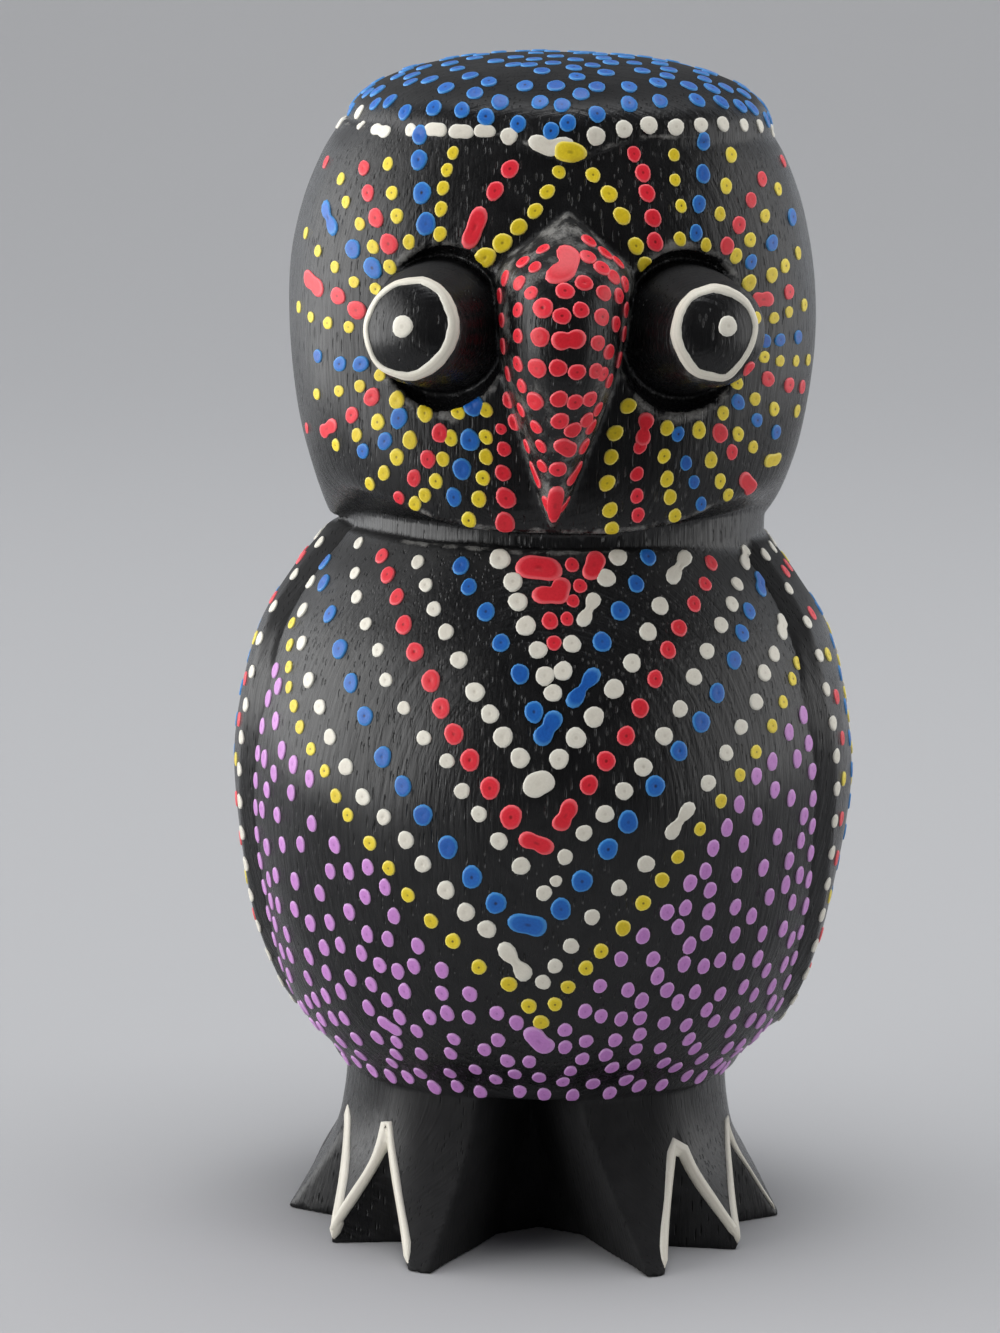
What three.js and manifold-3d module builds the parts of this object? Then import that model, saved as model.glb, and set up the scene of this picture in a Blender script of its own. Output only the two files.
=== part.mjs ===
import * as THREE from "three";
import { ConvexGeometry } from "three/addons/geometries/ConvexGeometry.js";
import { mergeVertices } from "three/addons/utils/BufferGeometryUtils.js";
import Module from "manifold-3d";

// A small owl carved from one block of wood and painted black, in millimetres.
// It stands on z = 0 and looks along -Y. Angles round it are counted from the front towards +X.

const AROUND = 44;
const STEPS_PER_STATION = 2;

// A station holds a height, the half-width there, the depth before the axis and the depth behind it.
const TRUNK_STATIONS = [
  [16.3, 20.7, 18.9, 18.9],
  [18.2, 21.9, 20.1, 20.4],
  [21.0, 24.4, 22.7, 22.9],
  [26.0, 27.0, 25.5, 25.6],
  [34.0, 29.4, 27.6, 27.7],
  [46.0, 30.9, 28.8, 28.8],
  [55.0, 30.3, 28.1, 28.1],
  [62.0, 28.4, 26.4, 26.2],
  [67.5, 25.0, 24.0, 23.2],
  [71.0, 22.3, 22.2, 20.9],
  [72.5, 21.2, 21.3, 19.9],
];
const HEAD_STATIONS = [
  [72.9, 22.3, 21.7, 20.9],
  [76.0, 23.4, 22.4, 21.9],
  [82.0, 25.3, 22.9, 23.6],
  [90.0, 26.5, 23.1, 24.8],
  [98.0, 26.5, 23.0, 24.9],
  [105.0, 25.2, 22.3, 23.8],
  [110.0, 23.4, 21.2, 22.0],
  [113.2, 21.5, 20.4, 20.6],
];
const SKIRT_STATIONS = [
  [0.0, 26.1, 28.0, 24.2],
  [4.5, 23.3, 24.4, 21.6],
  [8.5, 21.0, 21.5, 19.8],
  [12.5, 20.0, 19.5, 18.7],
  [17.4, 19.6, 18.5, 18.1],
];
const TRUNK_ROUNDNESS = { front: 2.05, back: 2.05 };
const HEAD_ROUNDNESS = { front: 2.6, back: 2.25 };
const HEAD_TURN = THREE.MathUtils.degToRad(2.5);

// The face is a shallow disc. Its edge is a crease, and a plain bevel runs back from it to the neck.
// Behind the bevel the disc opens wide, so that the back of the head stays round.
const FACE = {
  height: 94.5,
  halfWidth: 25.9,
  above: 22.0,
  below: 20.5,
  roundness: 2.5,
  edgeDepth: 19,
  bevel: 0.0098,
  jawBevel: 0.005,
  bevelEnd: 10,
  openShare: 2,
  openDepth: 12,
  clear: 40,
};

// The crown is a low cap above the face, and its rim dips to a point over the beak.
const CROWN = {
  base: 112.2,
  rise: 8.0,
  halfWidth: 21.55,
  middle: 0.25,
  lean: 0.06,
  front: 20.9,
  back: 20.9,
  doming: 2.3,
  levels: 7,
  dip: 2.2,
  dipHalfWidth: 6.4,
  dipForward: 0.7,
};

// The neck is a narrow groove between the face and the breast.
const NECK = { radius: 21.5, depthShare: 0.955, middle: 0.8, bottom: 70.5, top: 76.0 };

// Each eye is a domed cone that leans outwards.
const EYE = {
  across: 12.75,
  height: 94.1,
  depth: 21.6,
  lean: THREE.MathUtils.degToRad(21),
  around: 24,
};
const EYE_PROFILE = [
  [0, -4.5],
  [6.7, -4.5],
  [6.4, -1.2],
  [5.9, 2.6],
  [5.4, 4.9],
  [4.9, 5.7],
  [3.9, 6.5],
  [2.6, 7.1],
  [1.3, 7.4],
  [0, 7.5],
];

// Each eye stands in an upright oval hollow, which lies a little nearer the beak.
const SOCKET = { across: 11.6, halfWidth: 6.5, halfHeight: 7.8, depth: 3.3, rings: 10 };

// The beak is an arched wedge. Its stations count their depth from its own root inside the face.
const BEAK_STATIONS = [
  [74.7, 0.3, 2.9, 1.0],
  [77.5, 1.6, 4.9, 1.0],
  [82.0, 3.1, 7.3, 1.0],
  [87.0, 4.8, 9.4, 1.0],
  [92.0, 6.0, 10.5, 1.0],
  [96.5, 6.5, 10.4, 1.0],
  [100.0, 6.4, 8.9, 1.0],
  [103.0, 3.1, 5.8, 1.0],
  [105.3, 0.3, 2.7, 1.0],
];
const BEAK = {
  root: 20,
  lean: THREE.MathUtils.degToRad(1.8),
  leanHeight: 98,
  roundness: { front: 2.5, back: 2.0 },
  around: 24,
};

// The wings are low leaf-shaped panels with a cut groove round them. Their outlines are drawn as seen
// square on to a wing, which faces a little behind the owl's side. They run down the front and up the back.
const WING_FRONT_EDGE = [
  [-11.9, 73.0],
  [-13.7, 66.5],
  [-15.8, 61.0],
  [-17.1, 56.0],
  [-16.3, 46.0],
  [-14.6, 36.0],
  [-12.3, 27.0],
  [-7.0, 20.0],
  [7.5, 17.1],
];
const WING_BACK_EDGE = [
  [7.5, 17.1],
  [15.5, 24.0],
  [20.2, 36.0],
  [21.5, 48.0],
  [19.0, 60.0],
  [12.3, 69.0],
  [5.0, 73.0],
];
const WING = {
  raise: 0.9,
  groove: 0.75,
  grooveDepth: 0.9,
  facing: THREE.MathUtils.degToRad(12),
  turn: THREE.MathUtils.degToRad(-4.5),
  inner: 8,
  outer: 40,
  edgeSteps: 14,
};

// Low on the back, between the wing tips, the tail is one more leaf-shaped panel.
const TAIL = {
  top: 36,
  bottom: 16.7,
  bulge: 12,
  bulgeHeight: 24,
  raise: 1.2,
  inner: 8,
  outer: 40,
  steps: 8,
};

// The skirt under the belly is cut into toes by V channels, on both sides. As it rises, a channel leans
// towards the owl's back, by its own lean on the left and on the right. Angles are in degrees.
const TOE_CHANNELS = [
  { angle: 41.5, radius: 19.9, halfAngle: 43, lean: { left: 14, right: 6 } },
  { angle: 67.5, radius: 20.3, halfAngle: 53.5, lean: { left: 14, right: 14 } },
  { angle: 96.0, radius: 20.5, halfAngle: 48, lean: { left: 0, right: 0 } },
];
const TOE_CHANNEL_HEIGHT = 15;
const CHANNEL_REACH = 14;

// A deep notch parts the feet. Its side walls open forwards, and its back wall is a low prow that leans back
// to a point where the side walls meet. The notch leans a little to -X as it rises.
const FOOT_NOTCH = {
  slope: Math.tan(THREE.MathUtils.degToRad(24.8)),
  reach: 20,
  ground: { middle: 0.5, mouth: -11.6, halfWidth: 4.45, back: -8.9 },
  point: { middle: 0.0, back: -5.9, height: 9.8 },
  top: { middle: -1.1, back: -7.6, height: 16.8 },
};
const BELOW_GROUND = 1;
const WELD_DISTANCE = 1e-4;

const wasm = await Module();
wasm.setup();

// Puts a smooth curve through the stations and gives the half-width and depths at one height.
function stationAt(stations, height) {
  const last = stations.length - 1;
  let low = 0;
  while (low < last - 1 && height > stations[low + 1][0]) {
    low += 1;
  }
  const high = low + 1;
  const span = stations[high][0] - stations[low][0];
  const t = THREE.MathUtils.clamp((height - stations[low][0]) / span, 0, 1);
  const slope = (i, k) => {
    const before = stations[Math.max(i - 1, 0)];
    const after = stations[Math.min(i + 1, last)];
    return (after[k] - before[k]) / (after[0] - before[0]);
  };
  const blend = (k) => {
    const rise = stations[low][k] * (1 + 2 * t) * (1 - t) ** 2 + slope(low, k) * span * t * (1 - t) ** 2;
    const fall = stations[high][k] * (3 - 2 * t) * t ** 2 - slope(high, k) * span * t ** 2 * (1 - t);
    return rise + fall;
  };
  return { width: blend(1), front: blend(2), back: blend(3) };
}

// Gives the distance from the axis to a rounded section at one angle from the front.
function sectionReach(section, angle, roundness) {
  const ahead = Math.cos(angle) > 0;
  const power = ahead ? roundness.front : roundness.back;
  const depth = ahead ? section.front : section.back;
  const across = (Math.abs(Math.sin(angle)) / section.width) ** power;
  const along = (Math.abs(Math.cos(angle)) / depth) ** power;
  return (across + along) ** (-1 / power);
}

// Turns a profile and then moves each point out to the distance that reach gives.
function turned(profile, around, reach) {
  const geometry = new THREE.LatheGeometry(profile, around);
  const position = geometry.getAttribute("position");
  for (let i = 0; i < position.count; i += 1) {
    const angle = Math.atan2(position.getX(i), position.getZ(i));
    const share = Math.hypot(position.getX(i), position.getZ(i));
    const out = share * reach(angle, position.getY(i));
    position.setX(i, out * Math.sin(angle));
    position.setZ(i, out * Math.cos(angle));
  }
  return geometry;
}

// Stands a turned form up, so that its first angle is at the front.
function upright(geometry) {
  return geometry.rotateX(Math.PI / 2);
}

// Splits the span between neighbouring stations into equal steps.
function levelsOf(stations) {
  const levels = [stations[0][0]];
  for (let i = 1; i < stations.length; i += 1) {
    const span = stations[i][0] - stations[i - 1][0];
    for (let step = 1; step <= STEPS_PER_STATION; step += 1) {
      levels.push(stations[i - 1][0] + (span * step) / STEPS_PER_STATION);
    }
  }
  return levels;
}

// Makes a closed form from stations, grown outwards by an even amount.
function loft(stations, roundness, around = AROUND, grow = 0) {
  const levels = levelsOf(stations);
  const profile = levels.map((height) => new THREE.Vector2(1, height));
  profile.unshift(new THREE.Vector2(0, levels[0]));
  profile.push(new THREE.Vector2(0, levels[levels.length - 1]));
  const reach = (angle, height) => sectionReach(stationAt(stations, height), angle, roundness) + grow;
  return upright(turned(profile, around, reach));
}

// Makes a solid that can be joined and cut from a closed geometry.
function solid(geometry) {
  const bare = new THREE.BufferGeometry();
  bare.setAttribute("position", geometry.getAttribute("position"));
  bare.setIndex(geometry.getIndex());
  const merged = mergeVertices(bare, WELD_DISTANCE);
  const index = merged.getIndex().array;
  const triangles = [];
  for (let i = 0; i < index.length; i += 3) {
    const [a, b, c] = index.slice(i, i + 3);
    if (a !== b && b !== c && c !== a) {
      triangles.push(a, b, c);
    }
  }
  const mesh = new wasm.Mesh({
    numProp: 3,
    vertProperties: new Float32Array(merged.getAttribute("position").array),
    triVerts: new Uint32Array(triangles),
  });
  return new wasm.Manifold(mesh);
}

// Extrudes an outline that is drawn from the side, from one distance off the middle to another.
function sidePrism(outline, from, to) {
  const shape = new THREE.Shape(outline);
  const geometry = new THREE.ExtrudeGeometry(shape, { depth: to - from, bevelEnabled: false });
  const sideways = new THREE.Matrix4().makeBasis(
    new THREE.Vector3(0, 1, 0),
    new THREE.Vector3(0, 0, 1),
    new THREE.Vector3(1, 0, 0),
  );
  return geometry.applyMatrix4(sideways).translate(from, 0, 0);
}

// Moves every point of a closed anticlockwise outline out along its own normal.
function grown(outline, by) {
  return outline.map((point, i) => {
    const before = outline[(i + outline.length - 1) % outline.length];
    const after = outline[(i + 1) % outline.length];
    const along = after.clone().sub(before).normalize();
    return new THREE.Vector2(point.x + along.y * by, point.y - along.x * by);
  });
}

// Cuts the face's disc, with the bevel round it, from the rounded block of the head.
function makeHead() {
  const skull = solid(loft(HEAD_STATIONS, HEAD_ROUNDNESS));
  const outline = (angle, depth) => {
    const tall = Math.cos(angle) > 0 ? FACE.above : FACE.below;
    const across = (Math.abs(Math.sin(angle)) / FACE.halfWidth) ** FACE.roundness;
    const upwards = (Math.abs(Math.cos(angle)) / tall) ** FACE.roundness;
    const behind = THREE.MathUtils.clamp(depth + FACE.edgeDepth, 0, FACE.edgeDepth + FACE.bevelEnd);
    const jaw = 1 + Math.max(0, -Math.cos(angle)) * FACE.jawBevel * behind;
    return jaw * (across + upwards) ** (-1 / FACE.roundness);
  };
  const widest = 1 + (FACE.edgeDepth + FACE.bevelEnd) * FACE.bevel;
  const profile = [
    new THREE.Vector2(0, -FACE.clear),
    new THREE.Vector2(1, -FACE.clear),
    new THREE.Vector2(1, -FACE.edgeDepth),
    new THREE.Vector2(widest, FACE.bevelEnd),
    new THREE.Vector2(FACE.openShare, FACE.openDepth),
    new THREE.Vector2(FACE.openShare, FACE.clear),
    new THREE.Vector2(0, FACE.clear),
  ];
  const disc = solid(turned(profile, AROUND, outline).translate(0, 0, FACE.height));
  return skull.intersect(disc);
}

function makeCrown() {
  const profile = [new THREE.Vector2(0, 0)];
  for (let level = 0; level <= CROWN.levels; level += 1) {
    const turn = (Math.PI / 2) * (level / CROWN.levels);
    const share = Math.cos(turn) ** (2 / CROWN.doming);
    const height = CROWN.rise * Math.sin(turn) ** (2 / CROWN.doming);
    profile.push(new THREE.Vector2(level === CROWN.levels ? 0 : share, height));
  }
  const section = { width: CROWN.halfWidth, front: CROWN.front, back: CROWN.back };
  const geometry = upright(turned(profile, AROUND, (angle) => sectionReach(section, angle, HEAD_ROUNDNESS)));
  const position = geometry.getAttribute("position");
  for (let i = 0; i < position.count; i += 1) {
    const near = Math.max(0, 1 - Math.abs(position.getX(i)) / CROWN.dipHalfWidth);
    const low = Math.max(0, 1 - position.getZ(i) / CROWN.dip);
    const atFront = position.getY(i) < -CROWN.front / 2 ? near * low : 0;
    position.setX(i, position.getX(i) + CROWN.middle + CROWN.lean * position.getZ(i));
    position.setY(i, position.getY(i) - CROWN.dipForward * atFront);
    position.setZ(i, position.getZ(i) - CROWN.dip * atFront);
  }
  return solid(geometry.translate(0, 0, CROWN.base));
}

function makeNeck() {
  const height = NECK.top - NECK.bottom;
  const geometry = new THREE.CylinderGeometry(NECK.radius, NECK.radius, height, AROUND);
  const middle = (NECK.top + NECK.bottom) / 2;
  return solid(geometry.rotateX(Math.PI / 2).scale(1, NECK.depthShare, 1).translate(NECK.middle, 0, middle));
}

// Places a form made along its own upright axis at the face, leaning as the eyes do.
function seated(geometry, side, across) {
  const axis = new THREE.Vector3(side * Math.sin(EYE.lean), -Math.cos(EYE.lean), 0);
  const turn = new THREE.Quaternion().setFromUnitVectors(new THREE.Vector3(0, 1, 0), axis);
  return solid(geometry.applyQuaternion(turn).translate(side * across, -EYE.depth, EYE.height));
}

function makeEye(side) {
  const profile = EYE_PROFILE.map(([radius, along]) => new THREE.Vector2(radius, along));
  return seated(new THREE.LatheGeometry(profile, EYE.around), side, EYE.across);
}

function makeSocket(side) {
  const ball = new THREE.SphereGeometry(1, EYE.around, SOCKET.rings);
  return seated(ball.scale(SOCKET.halfWidth, SOCKET.depth, SOCKET.halfHeight), side, SOCKET.across);
}

function makeBeak() {
  const geometry = loft(BEAK_STATIONS, BEAK.roundness, BEAK.around);
  geometry.translate(0, -BEAK.root, -BEAK.leanHeight).rotateY(BEAK.lean).translate(0, 0, BEAK.leanHeight);
  return solid(geometry);
}

function wingOutline() {
  const edges = [WING_FRONT_EDGE, WING_BACK_EDGE].map((edge) => {
    const curve = new THREE.SplineCurve(edge.map(([depth, height]) => new THREE.Vector2(depth, height)));
    return curve.getPoints(WING.edgeSteps);
  });
  return [...edges[0], ...edges[1].slice(1)];
}

// Adds one wing panel to the trunk and cuts the groove round it.
function withWing(trunk, side) {
  const [from, to] = side > 0 ? [WING.inner, WING.outer] : [-WING.outer, -WING.inner];
  const outline = wingOutline();
  const turn = WING.turn + side * WING.facing;
  const panel = solid(sidePrism(outline, from, to).rotateZ(turn));
  const around = solid(sidePrism(grown(outline, WING.groove), from, to).rotateZ(turn));
  const proud = solid(loft(TRUNK_STATIONS, TRUNK_ROUNDNESS, AROUND, WING.raise));
  const sunk = solid(loft(TRUNK_STATIONS, TRUNK_ROUNDNESS, AROUND, -WING.grooveDepth));
  const grooved = trunk.subtract(around.subtract(sunk));
  return grooved.add(proud.intersect(panel));
}

function makeTail() {
  const shape = new THREE.Shape();
  shape.moveTo(0, TAIL.bottom);
  shape.quadraticCurveTo(TAIL.bulge, TAIL.bulgeHeight, 0, TAIL.top);
  shape.quadraticCurveTo(-TAIL.bulge, TAIL.bulgeHeight, 0, TAIL.bottom);
  const depth = TAIL.outer - TAIL.inner;
  const prism = new THREE.ExtrudeGeometry(shape, { depth, bevelEnabled: false, curveSegments: TAIL.steps });
  prism.rotateX(Math.PI / 2).translate(0, TAIL.outer, 0);
  const proud = solid(loft(TRUNK_STATIONS, TRUNK_ROUNDNESS, AROUND, TAIL.raise));
  return proud.intersect(solid(prism));
}

function makeTrunk() {
  const trunk = solid(loft(TRUNK_STATIONS, TRUNK_ROUNDNESS));
  return withWing(withWing(trunk, 1), -1);
}

// Makes a V channel whose bottom line rises from the origin, leaning towards +X, and which opens towards -Y.
function channel(halfAngle, reach, height, lean) {
  const half = reach * Math.tan(halfAngle);
  const shape = new THREE.Shape();
  shape.moveTo(0, 0);
  shape.lineTo(-half, -reach);
  shape.lineTo(half, -reach);
  const geometry = new THREE.ExtrudeGeometry(shape, { depth: height + BELOW_GROUND, bevelEnabled: false });
  const leaning = new THREE.Matrix4().makeShear(0, 0, 0, 0, Math.tan(lean), 0);
  return geometry.translate(0, 0, -BELOW_GROUND).applyMatrix4(leaning);
}

function makeNotch() {
  const { slope, reach, ground, point, top } = FOOT_NOTCH;
  const corners = [new THREE.Vector3(point.middle, point.back, point.height)];
  for (const height of [-BELOW_GROUND, 0]) {
    corners.push(new THREE.Vector3(ground.middle, ground.back, height));
    for (const side of [-1, 1]) {
      const far = ground.halfWidth + reach * slope;
      corners.push(new THREE.Vector3(ground.middle + side * ground.halfWidth, ground.mouth, height));
      corners.push(new THREE.Vector3(ground.middle + side * far, ground.mouth - reach, height));
    }
  }
  corners.push(new THREE.Vector3(top.middle, top.back, top.height));
  for (const side of [-1, 1]) {
    const far = (top.back - ground.mouth + reach) * slope;
    corners.push(new THREE.Vector3(top.middle + side * far, ground.mouth - reach, top.height));
  }
  return solid(new ConvexGeometry(corners));
}

function makeSkirt() {
  let skirt = solid(loft(SKIRT_STATIONS, TRUNK_ROUNDNESS));
  const toRadians = THREE.MathUtils.degToRad;
  for (const { angle, radius, halfAngle, lean } of TOE_CHANNELS) {
    for (const side of [-1, 1]) {
      const leaning = side * toRadians(side > 0 ? lean.right : lean.left);
      const cut = channel(toRadians(halfAngle), CHANNEL_REACH, TOE_CHANNEL_HEIGHT, leaning);
      cut.translate(0, -radius, 0).rotateZ(side * toRadians(angle));
      skirt = skirt.subtract(solid(cut));
    }
  }
  return skirt.subtract(makeNotch());
}

function makeOwl() {
  let head = makeHead().add(makeCrown());
  for (const side of [-1, 1]) {
    head = head.subtract(makeSocket(side)).add(makeEye(side));
  }
  head = head.add(makeBeak()).rotate([0, 0, THREE.MathUtils.radToDeg(HEAD_TURN)]);
  return makeTrunk().add(head).add(makeNeck()).add(makeSkirt()).add(makeTail());
}

// Turns a finished solid back into a named mesh with its paint.
function meshOf(name, form, material) {
  const { vertProperties, triVerts } = form.getMesh();
  const geometry = new THREE.BufferGeometry();
  geometry.setAttribute("position", new THREE.BufferAttribute(vertProperties, 3));
  geometry.setIndex(new THREE.BufferAttribute(triVerts, 1));
  geometry.computeVertexNormals();
  const mesh = new THREE.Mesh(geometry, material);
  mesh.name = name;
  return mesh;
}

const blackPaint = new THREE.MeshStandardMaterial({ color: 0x242326, roughness: 0.42, metalness: 0 });

const group = new THREE.Group();
group.add(meshOf("carved_owl", makeOwl(), blackPaint));

export default group;
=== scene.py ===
"""Looks of a small dot-painted wooden owl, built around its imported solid.

Forms are worked out in millimetres and written to meshes in metres. The owl stands on z = 0 and looks
along -Y. The carving is one signed form, negative inside the wood and zero on its surface.
"""

import logging
import math
from dataclasses import dataclass, field
from enum import Enum
from typing import ClassVar

import bpy
import numpy as np
from mathutils import Matrix, Vector


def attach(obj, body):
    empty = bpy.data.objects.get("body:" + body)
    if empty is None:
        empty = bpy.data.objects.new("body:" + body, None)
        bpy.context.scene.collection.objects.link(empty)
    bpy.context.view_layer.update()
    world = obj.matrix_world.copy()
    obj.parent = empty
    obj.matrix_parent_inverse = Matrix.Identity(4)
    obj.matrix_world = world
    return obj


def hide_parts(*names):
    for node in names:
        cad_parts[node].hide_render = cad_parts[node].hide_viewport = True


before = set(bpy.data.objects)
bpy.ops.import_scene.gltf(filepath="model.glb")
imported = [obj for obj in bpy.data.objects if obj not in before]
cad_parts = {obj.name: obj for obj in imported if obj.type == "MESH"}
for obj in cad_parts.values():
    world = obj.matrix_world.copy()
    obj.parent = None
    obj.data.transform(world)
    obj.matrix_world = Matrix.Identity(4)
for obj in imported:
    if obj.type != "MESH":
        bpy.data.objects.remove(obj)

log = logging.getLogger("owl")

MM = 0.001
PER_METRE = 1000.0
OWL_NODE = "carved_owl"
PHOTO_WIDTH = 1000
PHOTO_HEIGHT = 1333

# A distance from the axis that is outside the wood at every height.
OUTSIDE = 36.0
# The range that random phases are drawn from, about one whole turn.
ANY_PHASE = 6.3
# How square a section is: 2 is an ellipse.
NEARLY_ROUND = 2.05
HEAD_FRONT = 2.6
HEAD_BACK = 2.25
# Keeps a length that is divided by above zero.
TINY = 1e-9
# Brings a form whose slope is too steep nearer to true distances.
EASED = 0.85

Array = np.ndarray
Found = tuple[np.ndarray, np.ndarray]
Pair = tuple[float, float]
Line = tuple[Pair, ...]
Draw = np.random.Generator
Point = tuple[float, float, float]
Station = tuple[float, float, float, float]
Colour = tuple[float, float, float, float]
Names = tuple[str, ...]
Stops = tuple[Pair, ...]
Piece = bpy.types.Object
Socket = bpy.types.NodeSocket
Tree = bpy.types.NodeTree

# A station holds a height, the half-width there, the depth before the axis and the depth behind it.
TRUNK_STATIONS: tuple[Station, ...] = (
    (16.3, 20.7, 18.9, 18.9),
    (18.2, 21.9, 20.1, 20.4),
    (21.0, 24.4, 22.7, 22.9),
    (26.0, 27.0, 25.5, 25.6),
    (34.0, 29.4, 27.6, 27.7),
    (46.0, 30.9, 28.8, 28.8),
    (55.0, 30.3, 28.1, 28.1),
    (62.0, 28.4, 26.4, 26.2),
    (67.5, 25.0, 24.0, 23.2),
    (71.0, 22.3, 22.2, 20.9),
    (72.5, 21.2, 21.3, 19.9),
)
HEAD_STATIONS: tuple[Station, ...] = (
    (72.9, 22.3, 21.7, 20.9),
    (76.0, 23.4, 22.4, 21.9),
    (82.0, 25.3, 22.9, 23.6),
    (90.0, 26.5, 23.1, 24.8),
    (98.0, 26.5, 23.0, 24.9),
    (105.0, 25.2, 22.3, 23.8),
    (110.0, 23.4, 21.2, 22.0),
    (113.2, 21.5, 20.4, 20.6),
)
SKIRT_STATIONS: tuple[Station, ...] = (
    (0.0, 26.1, 28.0, 24.2),
    (4.5, 23.3, 24.4, 21.6),
    (8.5, 21.0, 21.5, 19.8),
    (12.5, 20.0, 19.5, 18.7),
    (17.4, 19.6, 18.5, 18.1),
)
BEAK_STATIONS: tuple[Station, ...] = (
    (74.7, 0.3, 2.9, 1.0),
    (77.5, 1.6, 4.9, 1.0),
    (82.0, 3.1, 7.3, 1.0),
    (87.0, 4.8, 9.4, 1.0),
    (92.0, 6.0, 10.5, 1.0),
    (96.5, 6.5, 10.4, 1.0),
    (100.0, 6.4, 8.9, 1.0),
    (103.0, 3.1, 5.8, 1.0),
    (105.3, 0.3, 2.7, 1.0),
)
WING_FRONT_EDGE: Line = (
    (-11.9, 73.0),
    (-13.7, 66.5),
    (-15.8, 61.0),
    (-17.1, 56.0),
    (-16.3, 46.0),
    (-14.6, 36.0),
    (-12.3, 27.0),
    (-7.0, 20.0),
    (7.5, 17.1),
)
WING_BACK_EDGE: Line = (
    (7.5, 17.1),
    (15.5, 24.0),
    (20.2, 36.0),
    (21.5, 48.0),
    (19.0, 60.0),
    (12.3, 69.0),
    (5.0, 73.0),
)


def merged(a: Array, b: Array, fillet: float) -> Array:
    """Joins two signed forms with a small fillet in the corner between them."""
    near = np.maximum(fillet - np.abs(a - b), 0.0) / fillet
    return np.minimum(a, b) - near * near * fillet * 0.25


def shared(a: Array, b: Array, fillet: float) -> Array:
    """Keeps what two signed forms have in common, with a softened edge."""
    return -merged(-a, -b, fillet)


def ramp(value: Array, low: float, high: float) -> Array:
    """Rises smoothly from 0 at low to 1 at high."""
    t = np.clip((value - low) / (high - low), 0.0, 1.0)
    return t * t * (3.0 - 2.0 * t)


def unit(rows: Array) -> Array:
    """Gives every row the length 1."""
    return rows / np.maximum(np.linalg.norm(rows, axis=1), TINY)[:, None]


def squared_off(a: Array, b: Array, power: Array | float, least: float = 0.0) -> Array:
    """Gives the length of two parts as a rounded square measures it, squarer with a higher power."""
    return (a**power + b**power + least) ** (1 / power)


def lengths_along(line: Array) -> Array:
    """Gives how far along a line each of its points lies."""
    return np.concatenate([[0.0], np.cumsum(np.linalg.norm(np.diff(line, axis=0), axis=1))])


def read_along(line: Array, lengths: Array, at: Array) -> Array:
    """Gives the points that lie at set lengths along a flat line."""
    return np.stack([np.interp(at, lengths, line[:, part]) for part in (0, 1)], axis=1)


def plane(points: Array, through: Array, first: Array, second: Array) -> Array:
    """Measures points against the plane through a point and two directions."""
    normal = np.cross(first, second)
    return (points - through) @ (normal / np.linalg.norm(normal))


def spline(points: Line, steps: int) -> Array:
    """Runs a smooth curve through points, evenly in its parameter.

    Args:
        points: The points that the curve passes through.
        steps: How many pieces the whole curve is cut into.

    Returns:
        An array of steps + 1 points.
    """
    knots = np.array(points, float)
    last = len(knots) - 1
    place = np.linspace(0.0, last, steps + 1)
    low = np.minimum(place.astype(int), last - 1)
    t = (place - low)[:, None]
    p0 = knots[np.where(low == 0, low, low - 1)]
    p1 = knots[low]
    p2 = knots[low + 1]
    p3 = knots[np.where(low > last - 2, last, low + 2)]
    v0 = (p2 - p0) * 0.5
    v1 = (p3 - p1) * 0.5
    cubic = (2 * p1 - 2 * p2 + v0 + v1) * t**3
    return cubic + (-3 * p1 + 3 * p2 - 2 * v0 - v1) * t**2 + v0 * t + p1


def turn_about_z(points: Array, angle: float) -> Array:
    """Turns points about the upright axis.

    Args:
        points: Points as rows.
        angle: The turn in radians, anticlockwise from above.

    Returns:
        The turned points.
    """
    c, s = math.cos(angle), math.sin(angle)
    x = points[:, 0] * c - points[:, 1] * s
    y = points[:, 0] * s + points[:, 1] * c
    return np.stack([x, y, points[:, 2]], axis=1)


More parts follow.
